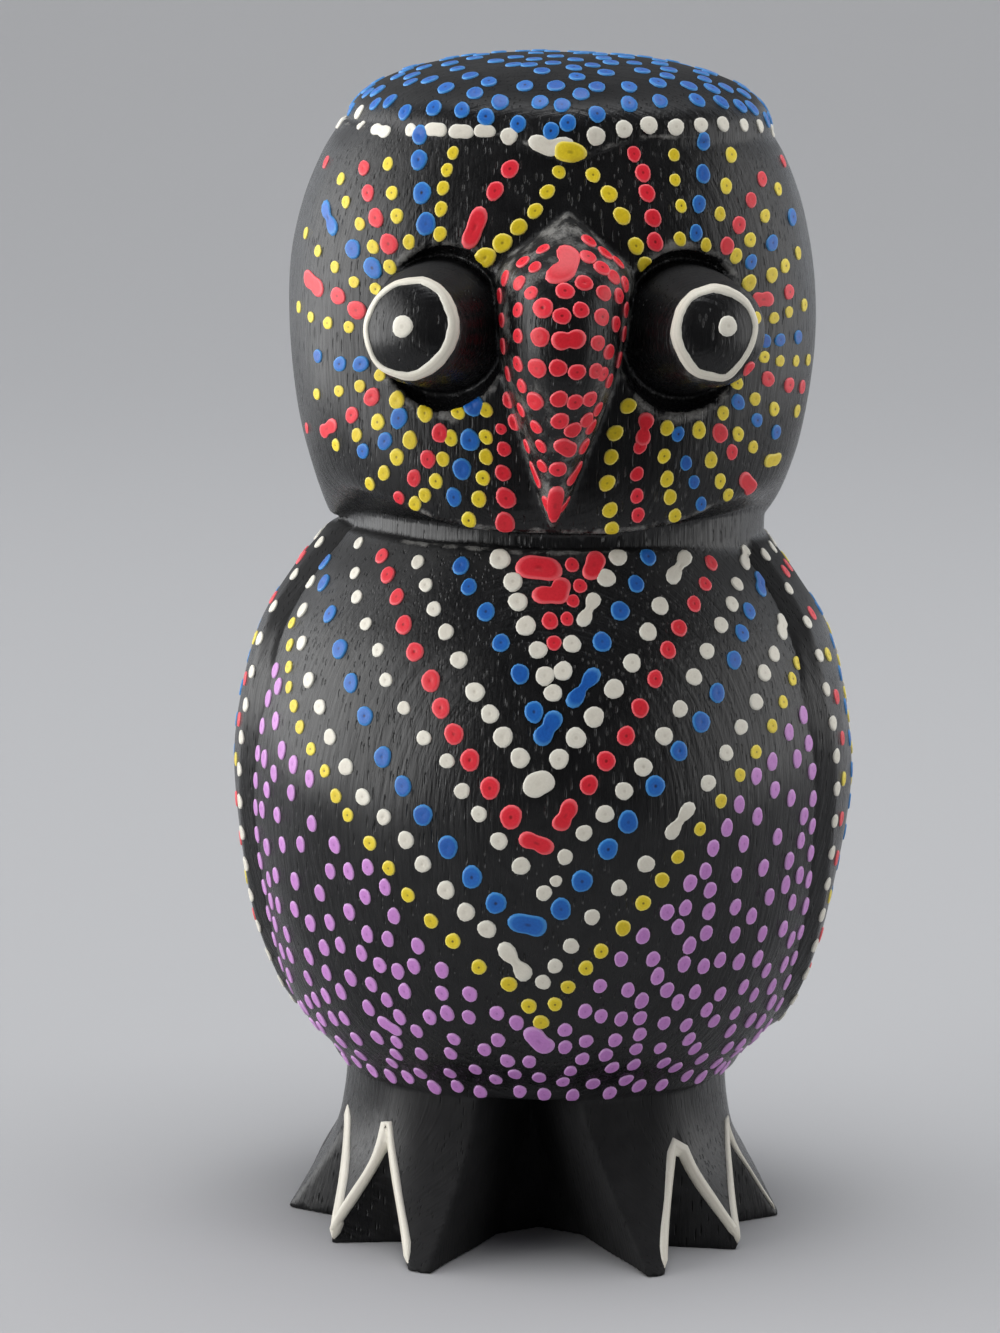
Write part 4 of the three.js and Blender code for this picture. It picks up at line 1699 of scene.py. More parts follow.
def scattered(draw: Draw, gaps: Array, places: Array, taken: Array, margin: float) -> list[int]:
    """Picks places one by one, each a gap away from those picked before it.

    Args:
        draw: The source of the random order.
        gaps: The gap that each place keeps.
        places: The places on the wood, as rows.
        taken: Places of dots that are there already.
        margin: How far new dots keep from those.

    Returns:
        The numbers of the picked places.
    """
    picked: list[int] = []
    for i in draw.permutation(len(places)):
        if np.min(np.linalg.norm(taken - places[i], axis=1)) < margin:
            continue
        if picked and np.min(np.linalg.norm(places[picked] - places[i], axis=1)) < gaps[i]:
            continue
        picked.append(int(i))
    return picked


@dataclass
class Pattern:
    """The painted pattern: which dots go where."""

    form: OwlForm
    view: PhotoView
    brush: DotBrush
    face_tall: ClassVar[dict[Paint, float]] = {R: 1.22, B: 1.24, Y: 1.2, W: 1.0}
    body_tall: ClassVar[dict[Paint, float]] = {R: 1.1, B: 1.12, Y: 1.04, W: 1.0, L: 1.2}
    crown_middle: Point = (0.3, 0.0, 108.0)
    crown_flatness: float = 0.7
    crown_foot: float = 114.0
    crown_front: float = -13.0
    crown_left_pixel: int = 385
    crown_gap: float = 2.75
    crown_margin: float = 2.3
    crown_radius: float = 0.86
    crown_seed: int = 5
    belly_foot: float = 16.9
    belly_top: float = 61.0
    belly_angles: Pair = (-73, 67)
    belly_gap: float = 2.45
    belly_margin: float = 1.95
    belly_seed: int = 11
    below_yellow: int = 16
    outer_top_pixel: int = 670
    back_top: float = 70.0
    back_angles: Pair = (100, 260)
    back_gap: float = 2.7
    back_margin: float = 1.75
    back_seed: int = 31
    rim_height: float = 112.9
    rim_radius: float = 0.8
    lilac_radius: float = 0.74
    lilac_tall: float = 1.3
    tries: int = 4000
    belly_tries: int = 5000

    def paint_front(self) -> None:
        """Paints what the photograph shows of the face, the beak and the breast."""
        rows = [*LEFT_EYE_RAYS, *RIGHT_EYE_RAYS]
        self.brush.add_seen(rows, [*FACE_BLOTS], self.face_tall)
        rows = [*RIM_ROW, *BREAST_ROWS, *PUPILS, LILAC_FRONT, WHITE_CLUSTER, BROW_DOT]
        rows += [Trail(R, line, radius) for line, radius in zip(BEAK_COLUMNS, BEAK_RADII)]
        rows.append(CROWN_FRONT)
        self.brush.add_seen(rows, [*RIM_BLOTS, *BEAK_BLOTS, *BREAST_BLOTS], self.body_tall)

    def taken(self) -> Array:
        """Gives the places of all dots so far."""
        return np.concatenate([spot.places for spot in self.brush.spots])

    def tried(self, draw: Draw, count: int, angles: Pair, top: float) -> Found:
        """Finds random points on the body.

        Args:
            draw: The source of the random places.
            count: How many points are tried.
            angles: The first and the last angle from the front, in degrees.
            top: The greatest height.

        Returns:
            Points and normals as rows.
        """
        turns = draw.uniform(*map(math.radians, angles), count)
        return self.brush.facing(turns, draw.uniform(self.belly_foot, top, count))

    def fill(self, draw: Draw, paint: Paint, found: Found, gap: Array | float, margin: float) -> None:
        """Scatters dots of one colour over points on the wood, clear of the dots that are there.

        Args:
            draw: The source of the random order.
            paint: The colour.
            found: Points and normals as rows.
            gap: The gap between the new dots, for each place or for all.
            margin: How far they keep from the dots that are there already.
        """
        places, normals = found
        gaps = np.broadcast_to(gap, len(places))
        picked = scattered(draw, gaps, places, self.taken(), margin)
        size, tall = (self.lilac_radius, self.lilac_tall) if paint is L else (self.crown_radius, 1.0)
        self.brush.add(paint, (places[picked], normals[picked]), size, tall)

    def paint_crown(self) -> None:
        """Scatters blue dots over the rest of the cap."""
        draw = np.random.default_rng(self.crown_seed)
        aims = draw.normal(size=(self.tries, 3))
        aims[:, 2] = np.abs(aims[:, 2]) * self.crown_flatness
        aims = unit(aims)
        starts = np.array(self.crown_middle) + aims * OUTSIDE
        places, normals = self.form.settle(self.form.struck(starts, -aims), rounds=1)
        seen = self.view.pixels(places)
        keep = places[:, 2] > self.crown_foot
        keep &= (places[:, 1] > self.crown_front) | (seen[:, 0] < self.crown_left_pixel)
        self.fill(draw, B, (places[keep], normals[keep]), self.crown_gap, self.crown_margin)

    def on_belly(self, places: Array) -> Array:
        """Tells which places lie below the yellow row, in the photograph.

        Args:
            places: Points as rows.

        Returns:
            One answer for each place.
        """
        seen = self.view.pixels(places)
        edge = np.array(YELLOW_EDGE, float)
        order = edge[:, 0].argsort()
        limit = np.interp(seen[:, 0], edge[order, 0], edge[order, 1])
        outer = (seen[:, 0] < edge[:, 0].min()) | (seen[:, 0] > edge[:, 0].max())
        return (seen[:, 1] > limit + self.below_yellow) | (outer & (seen[:, 1] > self.outer_top_pixel))

    def wing_gap(self, places: Array) -> Array:
        """Measures places against the nearer wing's outline."""
        wings, outline = self.form.trunk.wings, self.form.trunk.wing_outline
        return np.minimum(wings.edge_distance(places, 1, outline), wings.edge_distance(places, -1, outline))

    def beside_wing(self, side: int, inset: float, spacing: float) -> Found:
        """Finds points on the wood along a line that keeps its distance from a wing's edge.

        Args:
            side: 1 for the wing at +X, -1 at -X.
            inset: How far inside the wing's edge the line runs, negative outside it.
            spacing: The distance between points.

        Returns:
            Points and normals as rows.
        """
        wings = self.form.trunk.wings
        ring = self.inset_ring(wings.outline(), inset, spacing)
        turn = wings.turned + side * wings.facing
        starts = np.column_stack([np.full(len(ring), side * OUTSIDE), ring])
        lines = np.tile([-side * 1.0, 0.0, 0.0], (len(ring), 1))
        hit = self.form.struck(turn_about_z(starts, turn), turn_about_z(lines, turn))
        return self.form.settle(hit, rounds=1)

    def paint_belly(self) -> None:
        """Sets lilac dots beside the wings, and scatters more below the yellow row."""
        for side in (-1, 1):
            places, normals = self.beside_wing(side, -1.4, 2.9)
            gap = np.min(np.linalg.norm(places[:, None] - self.taken()[None], axis=2), axis=1)
            keep = self.on_belly(places) & (places[:, 1] < 6.0) & (gap > 1.6)
            self.brush.add(L, (places[keep], normals[keep]), self.lilac_radius, 1.25)
        draw = np.random.default_rng(self.belly_seed)
        places, normals = self.tried(draw, self.belly_tries, self.belly_angles, self.belly_top)
        keep = self.on_belly(places) & (self.wing_gap(places) > 1.3)
        gaps = self.belly_gap * (0.86 + 0.16 * ramp(places[keep, 2], 17.0, 40.0))
        self.fill(draw, L, (places[keep], normals[keep]), gaps, self.belly_margin)

    def paint_wings(self) -> None:
        """Paints rows of dots that follow each wing's edge."""
        rows = (
            (1.4, 3.45, (W,), 0.78),
            (3.5, 4.3, (R, R, Y), 0.76),
            (8.6, 3.4, (B,), 0.8),
            (11.2, 3.4, (Y,), 0.68),
            (13.4, 3.6, (W,), 0.76),
            (16.4, 3.6, (R,), 0.76),
        )
        for side in (-1, 1):
            for inset, spacing, paints, radius in rows:
                places, normals = self.beside_wing(side, inset, spacing)
                for k, paint in enumerate(paints):
                    found = (places[k :: len(paints)], normals[k :: len(paints)])
                    self.brush.add(paint, found, radius, self.body_tall[paint])

    def inset_ring(self, outline: Array, inset: float, spacing: float) -> Array:
        """Spaces points along a line that stays a set distance inside a closed outline.

        Args:
            outline: The outline's corners as rows.
            inset: The distance inside it, negative outside it.
            spacing: The distance between points.

        Returns:
            Points as rows.
        """
        distance = self.form.trunk.wing_outline
        before, after = np.roll(outline, 1, axis=0), np.roll(outline, -1, axis=0)
        along = after - before
        line = outline - unit(np.stack([along[:, 1], -along[:, 0]], axis=1)) * inset
        kept = -np.sign(inset) * distance.at(line[:, 0], line[:, 1]) > abs(inset) * 0.93
        line = line[kept]
        line = np.vstack([line, line[:1]])
        lengths = lengths_along(line)
        return read_along(line, lengths, np.arange(0.0, lengths[-1] - spacing * 0.6, spacing))

    def paint_back(self) -> None:
        """Finishes the hidden side plainly, with the rim row and lilac dots carried round."""
        angles = np.radians(np.arange(75, 285, 6.4))
        rim = self.brush.facing(angles, np.full(len(angles), self.rim_height))
        self.brush.add(W, rim, self.rim_radius)
        draw = np.random.default_rng(self.back_seed)
        places, normals = self.tried(draw, self.tries, self.back_angles, self.back_top)
        keep = self.wing_gap(places) > 1.6
        keep &= self.form.trunk.tail_outline.at(places[:, 0], places[:, 2]) > 1.3
        self.fill(draw, L, (places[keep], normals[keep]), self.back_gap, self.back_margin)

    def paint_all(self) -> None:
        """Paints the whole pattern, front first."""
        self.paint_front()
        self.paint_crown()
        self.paint_belly()
        self.paint_wings()
        self.paint_back()


@dataclass(frozen=True)
class ToeLeg:
    """One leg of a toe's painted line: which wall it follows, half of its width going up, and its reach.

    The reach is how far the leg runs on above the channel's top, or stays below it where it is negative.
    The turn moves the leg round the foot towards the front, in degrees.
    """

    wall: int
    foot: float
    middle: float
    peak: float
    reach: float = 0.0
    turn: float = 0.0


@dataclass
class StrokeBrush:
    """Seats raised strokes of cream paint on the wood."""

    form: OwlForm
    view: PhotoView
    section: tuple[float, ...] = (-1.0, -0.9, -0.55, 0.0, 0.55, 0.9, 1.0)
    heights: tuple[float, ...] = (-0.2, 0.45, 0.9, 1.0, 0.9, 0.45, -0.2)
    thickness: float = 0.24
    ring_steps: int = 6
    ring_waves: Line = ((0.05, 4.1), (0.04, 9.7))
    toe_wave: Pair = (0.07, 0.8)
    end_points: float = 2.0
    end_width: float = 0.25
    end_lift: float = -0.05
    draw: Draw = field(default_factory=lambda: np.random.default_rng(3))

    def ring(self, name: str, pixels: Line, widths: tuple[float, ...]) -> Piece:
        """Paints a closed stroke along pixels of the photograph.

        Args:
            name: The piece's name.
            pixels: The pixels that the stroke passes, once round.
            widths: Half of its width at each of them, in millimetres.

        Returns:
            The new piece.
        """
        around = (pixels[-1], *pixels, pixels[0], pixels[1])
        steps = self.ring_steps
        line = spline(around, steps * (len(around) - 1))[steps : -2 * steps]
        at = np.arange(len(line)) / steps
        sizes = np.interp(at, np.arange(len(widths) + 1), (*widths, widths[0]))
        uneven = np.ones(len(at))
        for strength, pace in self.ring_waves:
            uneven += strength * np.sin(at * pace)
        return self.built(name, self.view.seen(self.form, line)[0], sizes * uneven, closed=True)

    def toe_line(self, name: str, number: int, side: int, legs: tuple[ToeLeg, ...]) -> Piece:
        """Paints a stroke up one edge of a channel between two toes, and down its other edge.

        Args:
            name: The piece's name.
            number: Which channel, counted from the front.
            side: 1 for the foot at +X, -1 at -X.
            legs: The legs to paint, from first to last.

        Returns:
            The new piece.
        """
        path, sizes = [], []
        for i, leg in enumerate(legs):
            line = self.reached(self.form.skirt.ridge(number, side, leg.wall), leg.reach)
            line = turn_about_z(line, -side * math.radians(leg.turn))
            share = np.linspace(0.0, 1.0, len(line))
            size = np.interp(share, (0.0, 0.5, 1.0), (leg.foot, leg.middle, leg.peak))
            path.append(line if i == 0 else line[::-1])
            sizes.append(size if i == 0 else size[::-1])
        widths = np.concatenate(sizes)
        strength, pace = self.toe_wave
        uneven = 1.0 + strength * np.sin(np.arange(len(widths)) * pace + self.draw.uniform(0, ANY_PHASE))
        return self.built(name, np.concatenate(path), widths * uneven, closed=False)

    def reached(self, line: Array, reach: float) -> Array:
        """Draws a line out past its last point, or shortens it.

        Args:
            line: Points as rows.
            reach: How far the line runs on, or is cut back where it is negative.

        Returns:
            The new line.
        """
        if reach > 0.0:
            ahead = unit((line[-1] - line[-3])[None])[0]
            return np.vstack([line, line[-1] + ahead * reach / 2, line[-1] + ahead * reach])
        left = np.linalg.norm(line - line[-1], axis=1)
        return line[left >= -reach]

    def built(self, name: str, path: Array, widths: Array, closed: bool) -> Piece:
        """Raises a stroke along a path on the wood.

        Args:
            name: The piece's name.
            path: Points of the middle line as rows.
            widths: Half of the stroke's width at each point.
            closed: Whether the path joins up.

        Returns:
            The new piece.
        """
        path, normals = self.form.settle(path, rounds=2)
        ahead = np.roll(path, -1, axis=0) - np.roll(path, 1, axis=0)
        if not closed:
            ahead[0], ahead[-1] = path[1] - path[0], path[-1] - path[-2]
            from_end = np.minimum(np.arange(len(path)), np.arange(len(path))[::-1])
            widths = widths * np.minimum(1.0, from_end / self.end_points + self.end_width)
        sideways = np.cross(unit(ahead), normals)
        section, heights = np.array(self.section), np.array(self.heights)
        laid = path[:, None] + sideways[:, None] * (widths[:, None] * section)[:, :, None]
        lift = np.broadcast_to(heights * self.thickness, (len(path), len(section))).copy()
        if not closed:
            lift[0] = lift[-1] = self.end_lift
        seated, out = self.form.settle(laid.reshape(-1, 3), rounds=2, reach=0.5)
        raised = seated + out * lift.reshape(-1, 1)
        across = len(section)
        count = len(path) if closed else len(path) - 1
        row = np.arange(count)[:, None] * across
        after = ((np.arange(count) + 1) % len(path))[:, None] * across
        step = np.arange(across - 1)[None]
        quads = np.stack([row + step, row + step + 1, after + step + 1, after + step], axis=-1).reshape(-1, 4)
        piece = mesh_object(name, raised, [quads[:, ::-1]])
        keep_values(piece, "rim", np.tile(np.abs(section), len(path)))
        keep_values(piece, "tone", np.full(len(raised), 0.5))
        return piece


LEFT_RING: Line = (
    (422, 280), (440, 290), (450, 307), (454, 325), (449, 346), (434, 365), (414, 376), (396, 374),
    (380, 366), (371, 352), (366, 332), (369, 315), (379, 297), (394, 285), (409, 281),
)
LEFT_RING_WIDTHS: tuple[float, ...] = (
    0.58, 0.6, 0.64, 0.64, 0.66, 0.64, 0.58, 0.44, 0.4, 0.38, 0.44, 0.44, 0.4, 0.42, 0.5,
)
RIGHT_RING: Line = (
    (712, 288), (730, 292), (745, 302), (753, 316), (755, 330), (750, 348), (739, 365), (726, 377),
    (710, 376), (695, 371), (683, 355), (676, 336), (678, 318), (684, 304), (696, 293),
)
RIGHT_RING_WIDTHS: tuple[float, ...] = (
    0.58, 0.58, 0.46, 0.4, 0.38, 0.36, 0.4, 0.44, 0.46, 0.52, 0.56, 0.6, 0.58, 0.56, 0.58,
)
TOE_LINES: tuple[tuple[str, int, int, tuple[ToeLeg, ...]], ...] = (
    ("toe_line_left_front", 0, -1, (ToeLeg(-1, 0.9, 0.76, 1.0), ToeLeg(1, 0.8, 0.68, 0.95))),
    ("toe_line_left_side", 1, -1, (ToeLeg(-1, 0.9, 0.98, 0.95, 2.0, 1.6),)),
    ("toe_line_right_front", 0, 1, (ToeLeg(-1, 0.9, 0.68, 1.0, -1.6), ToeLeg(1, 0.7, 0.72, 0.9, -2.0))),
    ("toe_line_right_side", 1, 1, (ToeLeg(-1, 0.7, 0.76, 0.8, 0.8, 0.8), ToeLeg(1, 0.14, 0.18, 0.5))),
)


class Nodes:
    """A small helper that builds a node tree."""

    def __init__(self, tree: Tree) -> None:
        """Keeps the tree."""
        self.tree = tree

    def put(self, value: object, target: Socket) -> None:
        """Links a socket to an input, or sets a plain value on it.

        Args:
            value: A socket, a number or a colour.
            target: The input.
        """
        if isinstance(value, Socket):
            self.tree.links.new(value, target)
        else:
            target.default_value = value

    def fill(self, node: bpy.types.Node, **values: object) -> bpy.types.Node:
        """Sets a node's options and inputs.

        Args:
            node: The node.
            **values: Options by name, or inputs by name with spaces as underscores, as values or sockets.

        Returns:
            The same node.
        """
        for key, value in values.items():
            if hasattr(node, key):
                setattr(node, key, value)
            else:
                self.put(value, node.inputs[key.replace("_", " ")])
        return node

    def add(self, kind: str, **values: object) -> bpy.types.Node:
        """Adds a node and sets its options and inputs."""
        return self.fill(self.tree.nodes.new(kind), **values)

    def stored(self, name: str) -> Socket:
        """Reads a number that is stored on the mesh."""
        return self.add("ShaderNodeAttribute", attribute_name=name).outputs["Fac"]

    def stretched(self, vector: Socket, scale: Point) -> Socket:
        """Scales the three parts of a place."""
        return self.add("ShaderNodeMapping", Vector=vector, Scale=scale).outputs[0]

    def noise(self, vector: Socket, scale: float, detail: float, roughness: float = 0.5) -> Socket:
        """Adds a smooth noise and gives its value."""
        node = self.add("ShaderNodeTexNoise", Vector=vector, Scale=scale, Detail=detail, Roughness=roughness)
        return node.outputs["Fac"]

    def ramp(self, source: Socket, stops: Stops) -> Socket:
        """Maps a value through a grey ramp.

        Args:
            source: The value's socket.
            stops: Positions and brightnesses.

        Returns:
            The mapped value's socket.
        """
        node = self.add("ShaderNodeValToRGB", Fac=source)
        elements = node.color_ramp.elements
        while len(elements) < len(stops):
            elements.new(0.5)
        for element, (position, grey) in zip(elements, stops):
            element.position = position
            element.color = (grey, grey, grey, 1.0)
        return node.outputs["Color"]

    def mixed(self, share: object, first: object, second: object) -> Socket:
        """Mixes two colours.

        Args:
            share: The share of the second, as a socket or a number.
            first: A colour or a socket.
            second: A colour or a socket.

        Returns:
            The mixed colour's socket.
        """
        node = self.add("ShaderNodeMix", data_type="RGBA")
        for value, name in ((share, "Factor_Float"), (first, "A_Color"), (second, "B_Color")):
            self.put(value, next(s for s in node.inputs if s.identifier == name))
        return next(s for s in node.outputs if s.identifier == "Result_Color")

    def maths(self, operation: str, *values: object) -> Socket:
        """Does one sum.

        Args:
            operation: The sum's name.
            *values: Numbers or sockets.

        Returns:
            The result's socket.
        """
        node = self.add("ShaderNodeMath", operation=operation)
        for value, target in zip(values, node.inputs):
            self.put(value, target)
        return node.outputs[0]


def new_group(name: str, inputs: Names, outputs: Names) -> tuple[Nodes, bpy.types.Node, Socket]:
    """Starts a node group of plain numbers, whose first input scales the object's coordinates.

    Args:
        name: The group's name.
        inputs: The names of its inputs.
        outputs: The names of its outputs.

    Returns:
        The helper for its tree, the node of its inputs and the scaled coordinates.
    """
    group = bpy.data.node_groups.new(name, "ShaderNodeTree")
    for way, names in (("INPUT", inputs), ("OUTPUT", outputs)):
        for socket in names:
            group.interface.new_socket(socket, in_out=way, socket_type="NodeSocketFloat")
    n = Nodes(group)
    entry = n.add("NodeGroupInput")
    place = n.add("ShaderNodeTexCoord").outputs["Object"]
    scaled = n.add("ShaderNodeVectorMath", operation="SCALE", Vector=place, Scale=entry.outputs[inputs[0]])
    return n, entry, scaled.outputs[0]


def new_material(name: str) -> tuple[bpy.types.Material, Nodes, bpy.types.Node]:
    """Starts a material.

    Args:
        name: Its name.

    Returns:
        The material, the helper for its tree and its shader.
    """
    material = bpy.data.materials.new(name)
    material.use_nodes = True
    return material, Nodes(material.node_tree), material.node_tree.nodes["Principled BSDF"]


@dataclass(frozen=True)
class WoodGrain:
    """The shared effect of open wood grain: long fine fibres, short dark pores and broad year layers.

    Its group has the inputs Scale and Pore Amount and the outputs Fibre, Pores and Height.
    """

    fibre_shape: Point = (1.0, 1.0, 0.05)
    fibre_scale: float = 2.4
    fibre_height: float = 0.4
    pore_shape: Point = (1.0, 1.0, 0.16)
    pore_scale: float = 2.3
    pore_slit: Stops = ((0.0, 1.0), (0.16, 0.8), (0.27, 0.0))
    patch_scale: float = 0.16
    patches: Stops = ((0.36, 0.15), (0.56, 1.0))
    layer_shape: Point = (0.08, 2.6, 0.08)
    layer_height: float = 0.8

    def build(self) -> Tree:
        """Makes the node group.

        Returns:
            The group.
        """
        n, entry, place = new_group("wood_grain", ("Scale", "Pore Amount"), ("Fibre", "Pores", "Height"))
        fibre = n.noise(n.stretched(place, self.fibre_shape), self.fibre_scale, 5.0, 0.65)
        spot = n.stretched(place, self.pore_shape)
        pore = n.add("ShaderNodeTexVoronoi", Vector=spot, Scale=self.pore_scale)
        slit = n.ramp(pore.outputs["Distance"], self.pore_slit)
        where = n.ramp(n.noise(place, self.patch_scale, 2.0), self.patches)
        pores = n.maths("MULTIPLY", n.maths("MULTIPLY", slit, where), entry.outputs["Pore Amount"])
        layers = n.noise(n.stretched(place, self.layer_shape), 1.0, 3.0, 0.6)
        layers = n.maths("MULTIPLY", layers, self.layer_height)
        rise = n.maths("MULTIPLY_ADD", fibre, self.fibre_height, layers)
        n.add("NodeGroupOutput", Fibre=fibre, Pores=pores, Height=n.maths("SUBTRACT", rise, pores))
        return n.tree


@dataclass(frozen=True)
class PaintMottle:
    """The shared effect of uneven paint: soft blotches and fine specks.

    Its group has the input Scale and the outputs Blotch and Speck.
    """

    blotch_scale: float = 0.5
    speck_scale: float = 4.5

    def build(self) -> Tree:
        """Makes the node group.

        Returns:
            The group.
        """
        n, _, place = new_group("paint_mottle", ("Scale",), ("Blotch", "Speck"))
        blotch = n.noise(place, self.blotch_scale, 3.0, 0.5)
        n.add("NodeGroupOutput", Blotch=blotch, Speck=n.noise(place, self.speck_scale, 3.0, 0.7))
        return n.tree


@dataclass(frozen=True)
class BlackPaint:
    """Satin black paint over open-grained wood, rubbed pale along its edges."""

    grain: Tree
    mottle: Tree
    base: Colour = (0.0048, 0.0048, 0.0052, 1.0)
    thin: Colour = (0.0095, 0.0094, 0.0098, 1.0)
    pore: Colour = (0.001, 0.001, 0.001, 1.0)
    scuff: Colour = (0.2, 0.196, 0.185, 1.0)
    matt: Colour = (0.85, 0.85, 0.85, 1.0)
    blotches: Stops = ((0.35, 0.0), (0.7, 1.0))
    scuffs: Stops = ((0.1, 0.0), (0.34, 0.85))
    smoothest: float = 0.15
    fibre_roughness: float = 0.24

    def build(self) -> bpy.types.Material:
        """Makes the material.

        Returns:
            The black paint.
        """
        material, n, shader = new_material("black_paint")
        grain = n.add("ShaderNodeGroup", node_tree=self.grain, Scale=PER_METRE, Pore_Amount=1.0)
        mottle = n.add("ShaderNodeGroup", node_tree=self.mottle, Scale=PER_METRE)
        blotch = n.ramp(mottle.outputs["Blotch"], self.blotches)
        colour = n.mixed(blotch, self.base, self.thin)
        colour = n.mixed(grain.outputs["Pores"], colour, self.pore)
        rubbed = n.maths("MULTIPLY", n.stored("worn"), mottle.outputs["Speck"])
        rubbed = n.ramp(n.maths("MULTIPLY", rubbed, blotch), self.scuffs)
        rough = n.maths("MULTIPLY_ADD", grain.outputs["Fibre"], self.fibre_roughness, self.smoothest)
        bump = n.add("ShaderNodeBump", Strength=0.8, Distance=0.0002, Height=grain.outputs["Height"])
        n.fill(
            shader,
            Base_Color=n.mixed(rubbed, colour, self.scuff),
            Roughness=n.mixed(n.stored("matt"), rough, self.matt),
            Specular_IOR_Level=0.33,
            Normal=bump.outputs["Normal"],
        )
        return material


@dataclass(frozen=True)
class DotPaint:
    """A thick, slightly glossy paint mottled with the black under it, with painted highlight at its rim and
    painted shade in its middle.
    """

    name: str
    body: Colour
    rim: Colour
    # A deeper tone, mixed in at random, which also carries the painted shade in the dimple.
    deep: Colour
    # The darkest colour of the painted shade, at the very bottom of the dimple.
    dimple_dark: Colour
    mottle: Tree
    specks: Stops = ((0.3, 0.0), (0.75, 1.0))
    # The ring of rim colour: partly the paint's own paler edge, partly a painted highlight on the dot's
    # rounded edge.
    rim_ring: Stops = ((0.72, 0.0), (0.92, 0.8))
    # Painted shade in the dimple: dark at the middle, with a faint darker ring round it.
    dimple_shade: Stops = ((0.12, 1.0), (0.26, 0.2), (0.38, 0.45), (0.55, 0.0))
    # A near-black point of painted shade at the very middle.
    dimple_dark_point: Stops = ((0.06, 1.0), (0.2, 0.0))
    # How strong the painted shade in the dimple is: at least this, plus the dot's tone times the gain.
    faintest_mark: float = 0.3
    mark_gain: float = 0.7

    def build(self) -> bpy.types.Material:
        """Makes the material.

        Returns:
            The paint.
        """
        material, n, shader = new_material(self.name)
        mottle = n.add("ShaderNodeGroup", node_tree=self.mottle, Scale=PER_METRE)
        rim, tone = n.stored("rim"), n.stored("tone")
        speck = n.ramp(mottle.outputs["Speck"], self.specks)
        shade = n.maths("MULTIPLY", n.maths("ADD", speck, tone), 0.5)
        colour = n.mixed(shade, self.deep, self.body)
        # A paler ring at the rim, partly a painted highlight on the rounded edge.
        colour = n.mixed(n.ramp(rim, self.rim_ring), colour, self.rim)
        # Painted shade in the dimple: the middle is darkened towards the deep colour, and some dots get a
        # dark point of painted shade at the very middle.
        strength = n.maths("MULTIPLY_ADD", tone, self.mark_gain, self.faintest_mark)
        colour = n.mixed(n.maths("MULTIPLY", n.ramp(rim, self.dimple_shade), strength), colour, self.deep)
        dimple_dark = n.maths("MULTIPLY", n.ramp(rim, self.dimple_dark_point), tone)
        bump = n.add("ShaderNodeBump", Strength=0.25, Distance=0.00006, Height=mottle.outputs["Speck"])
        n.fill(
            shader,
            Base_Color=n.mixed(dimple_dark, colour, self.dimple_dark),
            Roughness=0.42,
            Specular_IOR_Level=0.35,
            Coat_Weight=0.05,
            Coat_Roughness=0.25,
            Normal=bump.outputs["Normal"],
        )
        return material


@dataclass(frozen=True)
class SoftBox:
    """A bright patch of the surrounding light, which fades out along some axes.

    A limit holds an axis, 1 or -1 for its sense, and the stops of its fading from 0 (behind) to 1 (ahead).
    """

    bright: Colour
    limits: tuple[tuple[str, int, Stops], ...]

    def share(self, n: Nodes, parts: bpy.types.Node) -> Socket:
        """Gives how much of the box shows in each direction.

        Args:
            n: The helper for the world's node tree.
            parts: The node that splits the direction into its axes.

        Returns:
            The share's socket.
        """
        shares = []
        for axis, sense, stops in self.limits:
            along = n.maths("MULTIPLY_ADD", parts.outputs[axis], 0.5 * sense, 0.5)
            shares.append(n.ramp(along, stops))
        whole = shares[0]
        for share in shares[1:]:
            whole = n.maths("MULTIPLY", whole, share)
        return whole


SOFT_BOXES: tuple[SoftBox, ...] = (
    SoftBox((0.5, 0.54, 0.62, 1.0), (("Z", 1, ((0.9, 0.0), (0.98, 1.0))),)),
    SoftBox((0.48, 0.5, 0.53, 1.0), (("Y", 1, ((0.5, 0.0), (0.75, 1.0))),)),
    SoftBox(
        (1.65, 1.65, 1.65, 1.0),
        (
            ("X", 1, ((0.86, 0.0), (0.95, 1.0))),
            ("Z", 1, ((0.68, 1.0), (0.86, 0.0))),
        ),
    ),
    SoftBox(
        (3.9, 3.9, 3.9, 1.0),
        (
            ("X", -1, ((0.77, 0.0), (0.9, 1.0))),
            ("Z", 1, ((0.64, 1.0), (0.83, 0.0))),
            ("Y", 1, ((0.6, 1.0), (0.8, 0.5))),
        ),
    ),
)


# Each paint's body, rim and deep colours, and the darkest colour of the painted shade at the bottom of the
# dimple; the rim colour is partly a painted highlight.
DOT_COLOURS: dict[Paint, tuple[Colour, Colour, Colour, Colour]] = {
    R: ((0.86, 0.03, 0.055, 1), (0.9, 0.15, 0.17, 1), (0.6, 0.01, 0.02, 1), (0.2, 0.004, 0.008, 1)),
    B: ((0.014, 0.17, 0.56, 1), (0.06, 0.28, 0.62, 1), (0.006, 0.07, 0.34, 1), (0.01, 0.012, 0.02, 1)),
    Y: ((0.9, 0.72, 0.03, 1), (0.85, 0.72, 0.15, 1), (0.62, 0.45, 0.01, 1), (0.1, 0.07, 0.01, 1)),
    W: ((0.8, 0.77, 0.67, 1), (0.72, 0.7, 0.62, 1), (0.64, 0.6, 0.51, 1), (0.6, 0.56, 0.47, 1)),
    L: ((0.66, 0.28, 0.69, 1), (0.66, 0.38, 0.7, 1), (0.46, 0.18, 0.5, 1), (0.4, 0.15, 0.44, 1)),
}


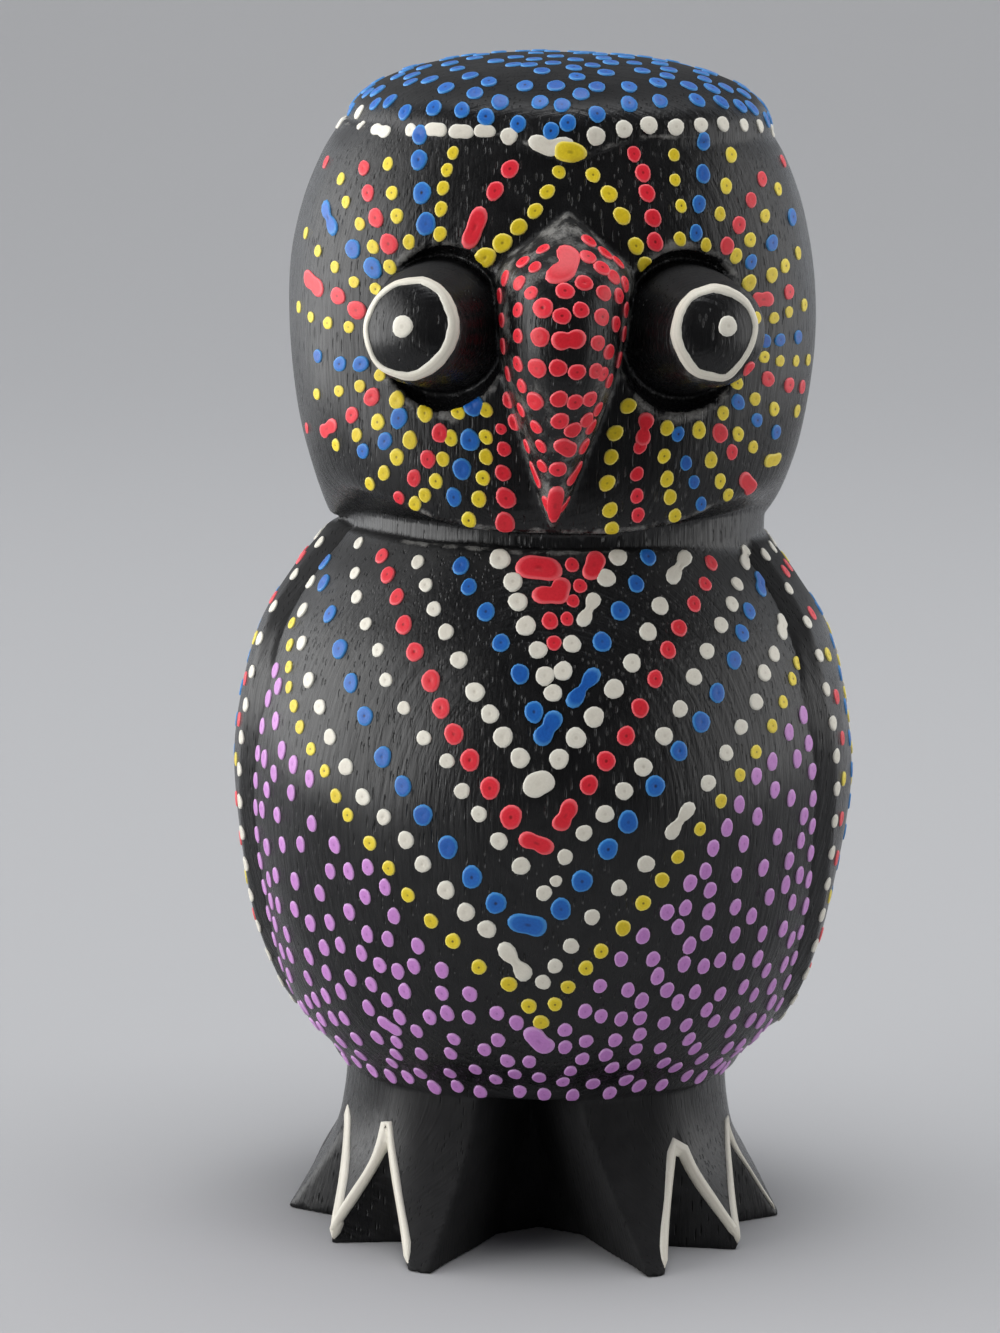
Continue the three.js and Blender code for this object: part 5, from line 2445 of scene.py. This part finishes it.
@dataclass
class Studio:
    """A plain pale sweep of paper under soft light, bright at the sides and dim in front."""

    floor_half: float = 0.36
    floor_front: float = 0.2
    sweep_start: float = 0.75
    sweep_radius: float = 1.1
    sweep_top: float = 3.0
    sweep_steps: int = 16
    pale: Colour = (0.455, 0.455, 0.46, 1.0)
    dim_air: Colour = (0.055, 0.055, 0.057, 1.0)
    beyond: Colour = (0.39, 0.39, 0.394, 1.0)
    air_strength: float = 1.3
    lamp_place: Point = (0.05, -0.12, 1.3)
    lamp_aim: Point = (0.0, 0.0, 0.06)
    lamp_size: float = 0.8
    lamp_power: float = 9.4

    def build(self) -> None:
        """Makes the floor, the lamp and the surrounding light."""
        self.build_sweep()
        self.build_lamp()
        self.build_air()
        bpy.context.scene.view_settings.view_transform = "Standard"

    def build_air(self) -> None:
        """Makes the surrounding light, which is a plain pale tone where it is seen directly."""
        world = bpy.data.worlds.new("studio_air")
        world.use_nodes = True
        n = Nodes(world.node_tree)
        parts = n.add("ShaderNodeSeparateXYZ", Vector=n.add("ShaderNodeTexCoord").outputs["Generated"])
        colour = self.dim_air
        for box in SOFT_BOXES:
            colour = n.mixed(box.share(n, parts), colour, box.bright)
        path = n.add("ShaderNodeLightPath")
        colour = n.mixed(path.outputs["Is Camera Ray"], colour, self.beyond)
        n.fill(n.tree.nodes["Background"], Color=colour, Strength=self.air_strength)
        bpy.context.scene.world = world

    def build_sweep(self) -> None:
        """Makes a floor that curves up into a backdrop far behind the owl."""
        rows = [(-self.floor_front, 0.0), (self.sweep_start, 0.0)]
        for step in range(1, self.sweep_steps + 1):
            turn = math.radians(90) * step / self.sweep_steps
            along = self.sweep_start + self.sweep_radius * math.sin(turn)
            rows.append((along, self.sweep_radius * (1 - math.cos(turn))))
        rows.append((rows[-1][0], self.sweep_top))
        sides = (-self.floor_half, self.floor_half)
        vertices = [(across / MM, along / MM, up / MM) for along, up in rows for across in sides]
        quads = np.array([(2 * i, 2 * i + 1, 2 * i + 3, 2 * i + 2) for i in range(len(rows) - 1)])
        sweep = mesh_object("studio_sweep", np.array(vertices), [quads])
        material, n, shader = new_material("studio_paper")
        n.fill(shader, Base_Color=self.pale, Roughness=0.9, Specular_IOR_Level=0.1)
        sweep.data.materials.append(material)

    def build_lamp(self) -> None:
        """Makes one soft lamp above, which faces the owl."""
        data = bpy.data.lights.new("overhead", "AREA")
        data.size = self.lamp_size
        data.energy = self.lamp_power
        lamp = new_object("overhead", data)
        lamp.location = self.lamp_place
        lamp.rotation_mode = "QUATERNION"
        aim = Vector(self.lamp_aim) - Vector(self.lamp_place)
        lamp.rotation_quaternion = aim.to_track_quat("-Z", "Y")


def dress(piece: Piece, material: bpy.types.Material) -> None:
    """Gives a piece its material, seats it on the owl's body and reports it.

    Args:
        piece: The piece.
        material: Its material.
    """
    piece.data.materials.clear()
    piece.data.materials.append(material)
    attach(piece, "root")
    log.info("%s: %d faces", piece.name, len(piece.data.polygons))


def main() -> None:
    """Builds the owl, its paint and the studio, in that order."""
    logging.basicConfig(level=logging.INFO, format="%(message)s")
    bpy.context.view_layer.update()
    form = OwlForm()
    view = PhotoView()
    view.build()
    mottle = PaintMottle().build()

    owl = Carving(form).build()
    dress(owl, BlackPaint(WoodGrain().build(), mottle).build())
    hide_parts(OWL_NODE)

    materials = {}
    for paint, colours in DOT_COLOURS.items():
        materials[paint] = DotPaint(f"{paint.value}_paint", *colours, mottle).build()
    brush = DotBrush(form, view)
    Pattern(form, view, brush).paint_all()
    for paint, material in materials.items():
        dress(brush.build(paint), material)

    strokes = StrokeBrush(form, view)
    cream = materials[W]
    dress(strokes.ring("eye_ring_left", LEFT_RING, LEFT_RING_WIDTHS), cream)
    dress(strokes.ring("eye_ring_right", RIGHT_RING, RIGHT_RING_WIDTHS), cream)
    for name, number, side, legs in TOE_LINES:
        dress(strokes.toe_line(name, number, side, legs), cream)

    Studio().build()


if __name__ == "__main__":
    main()
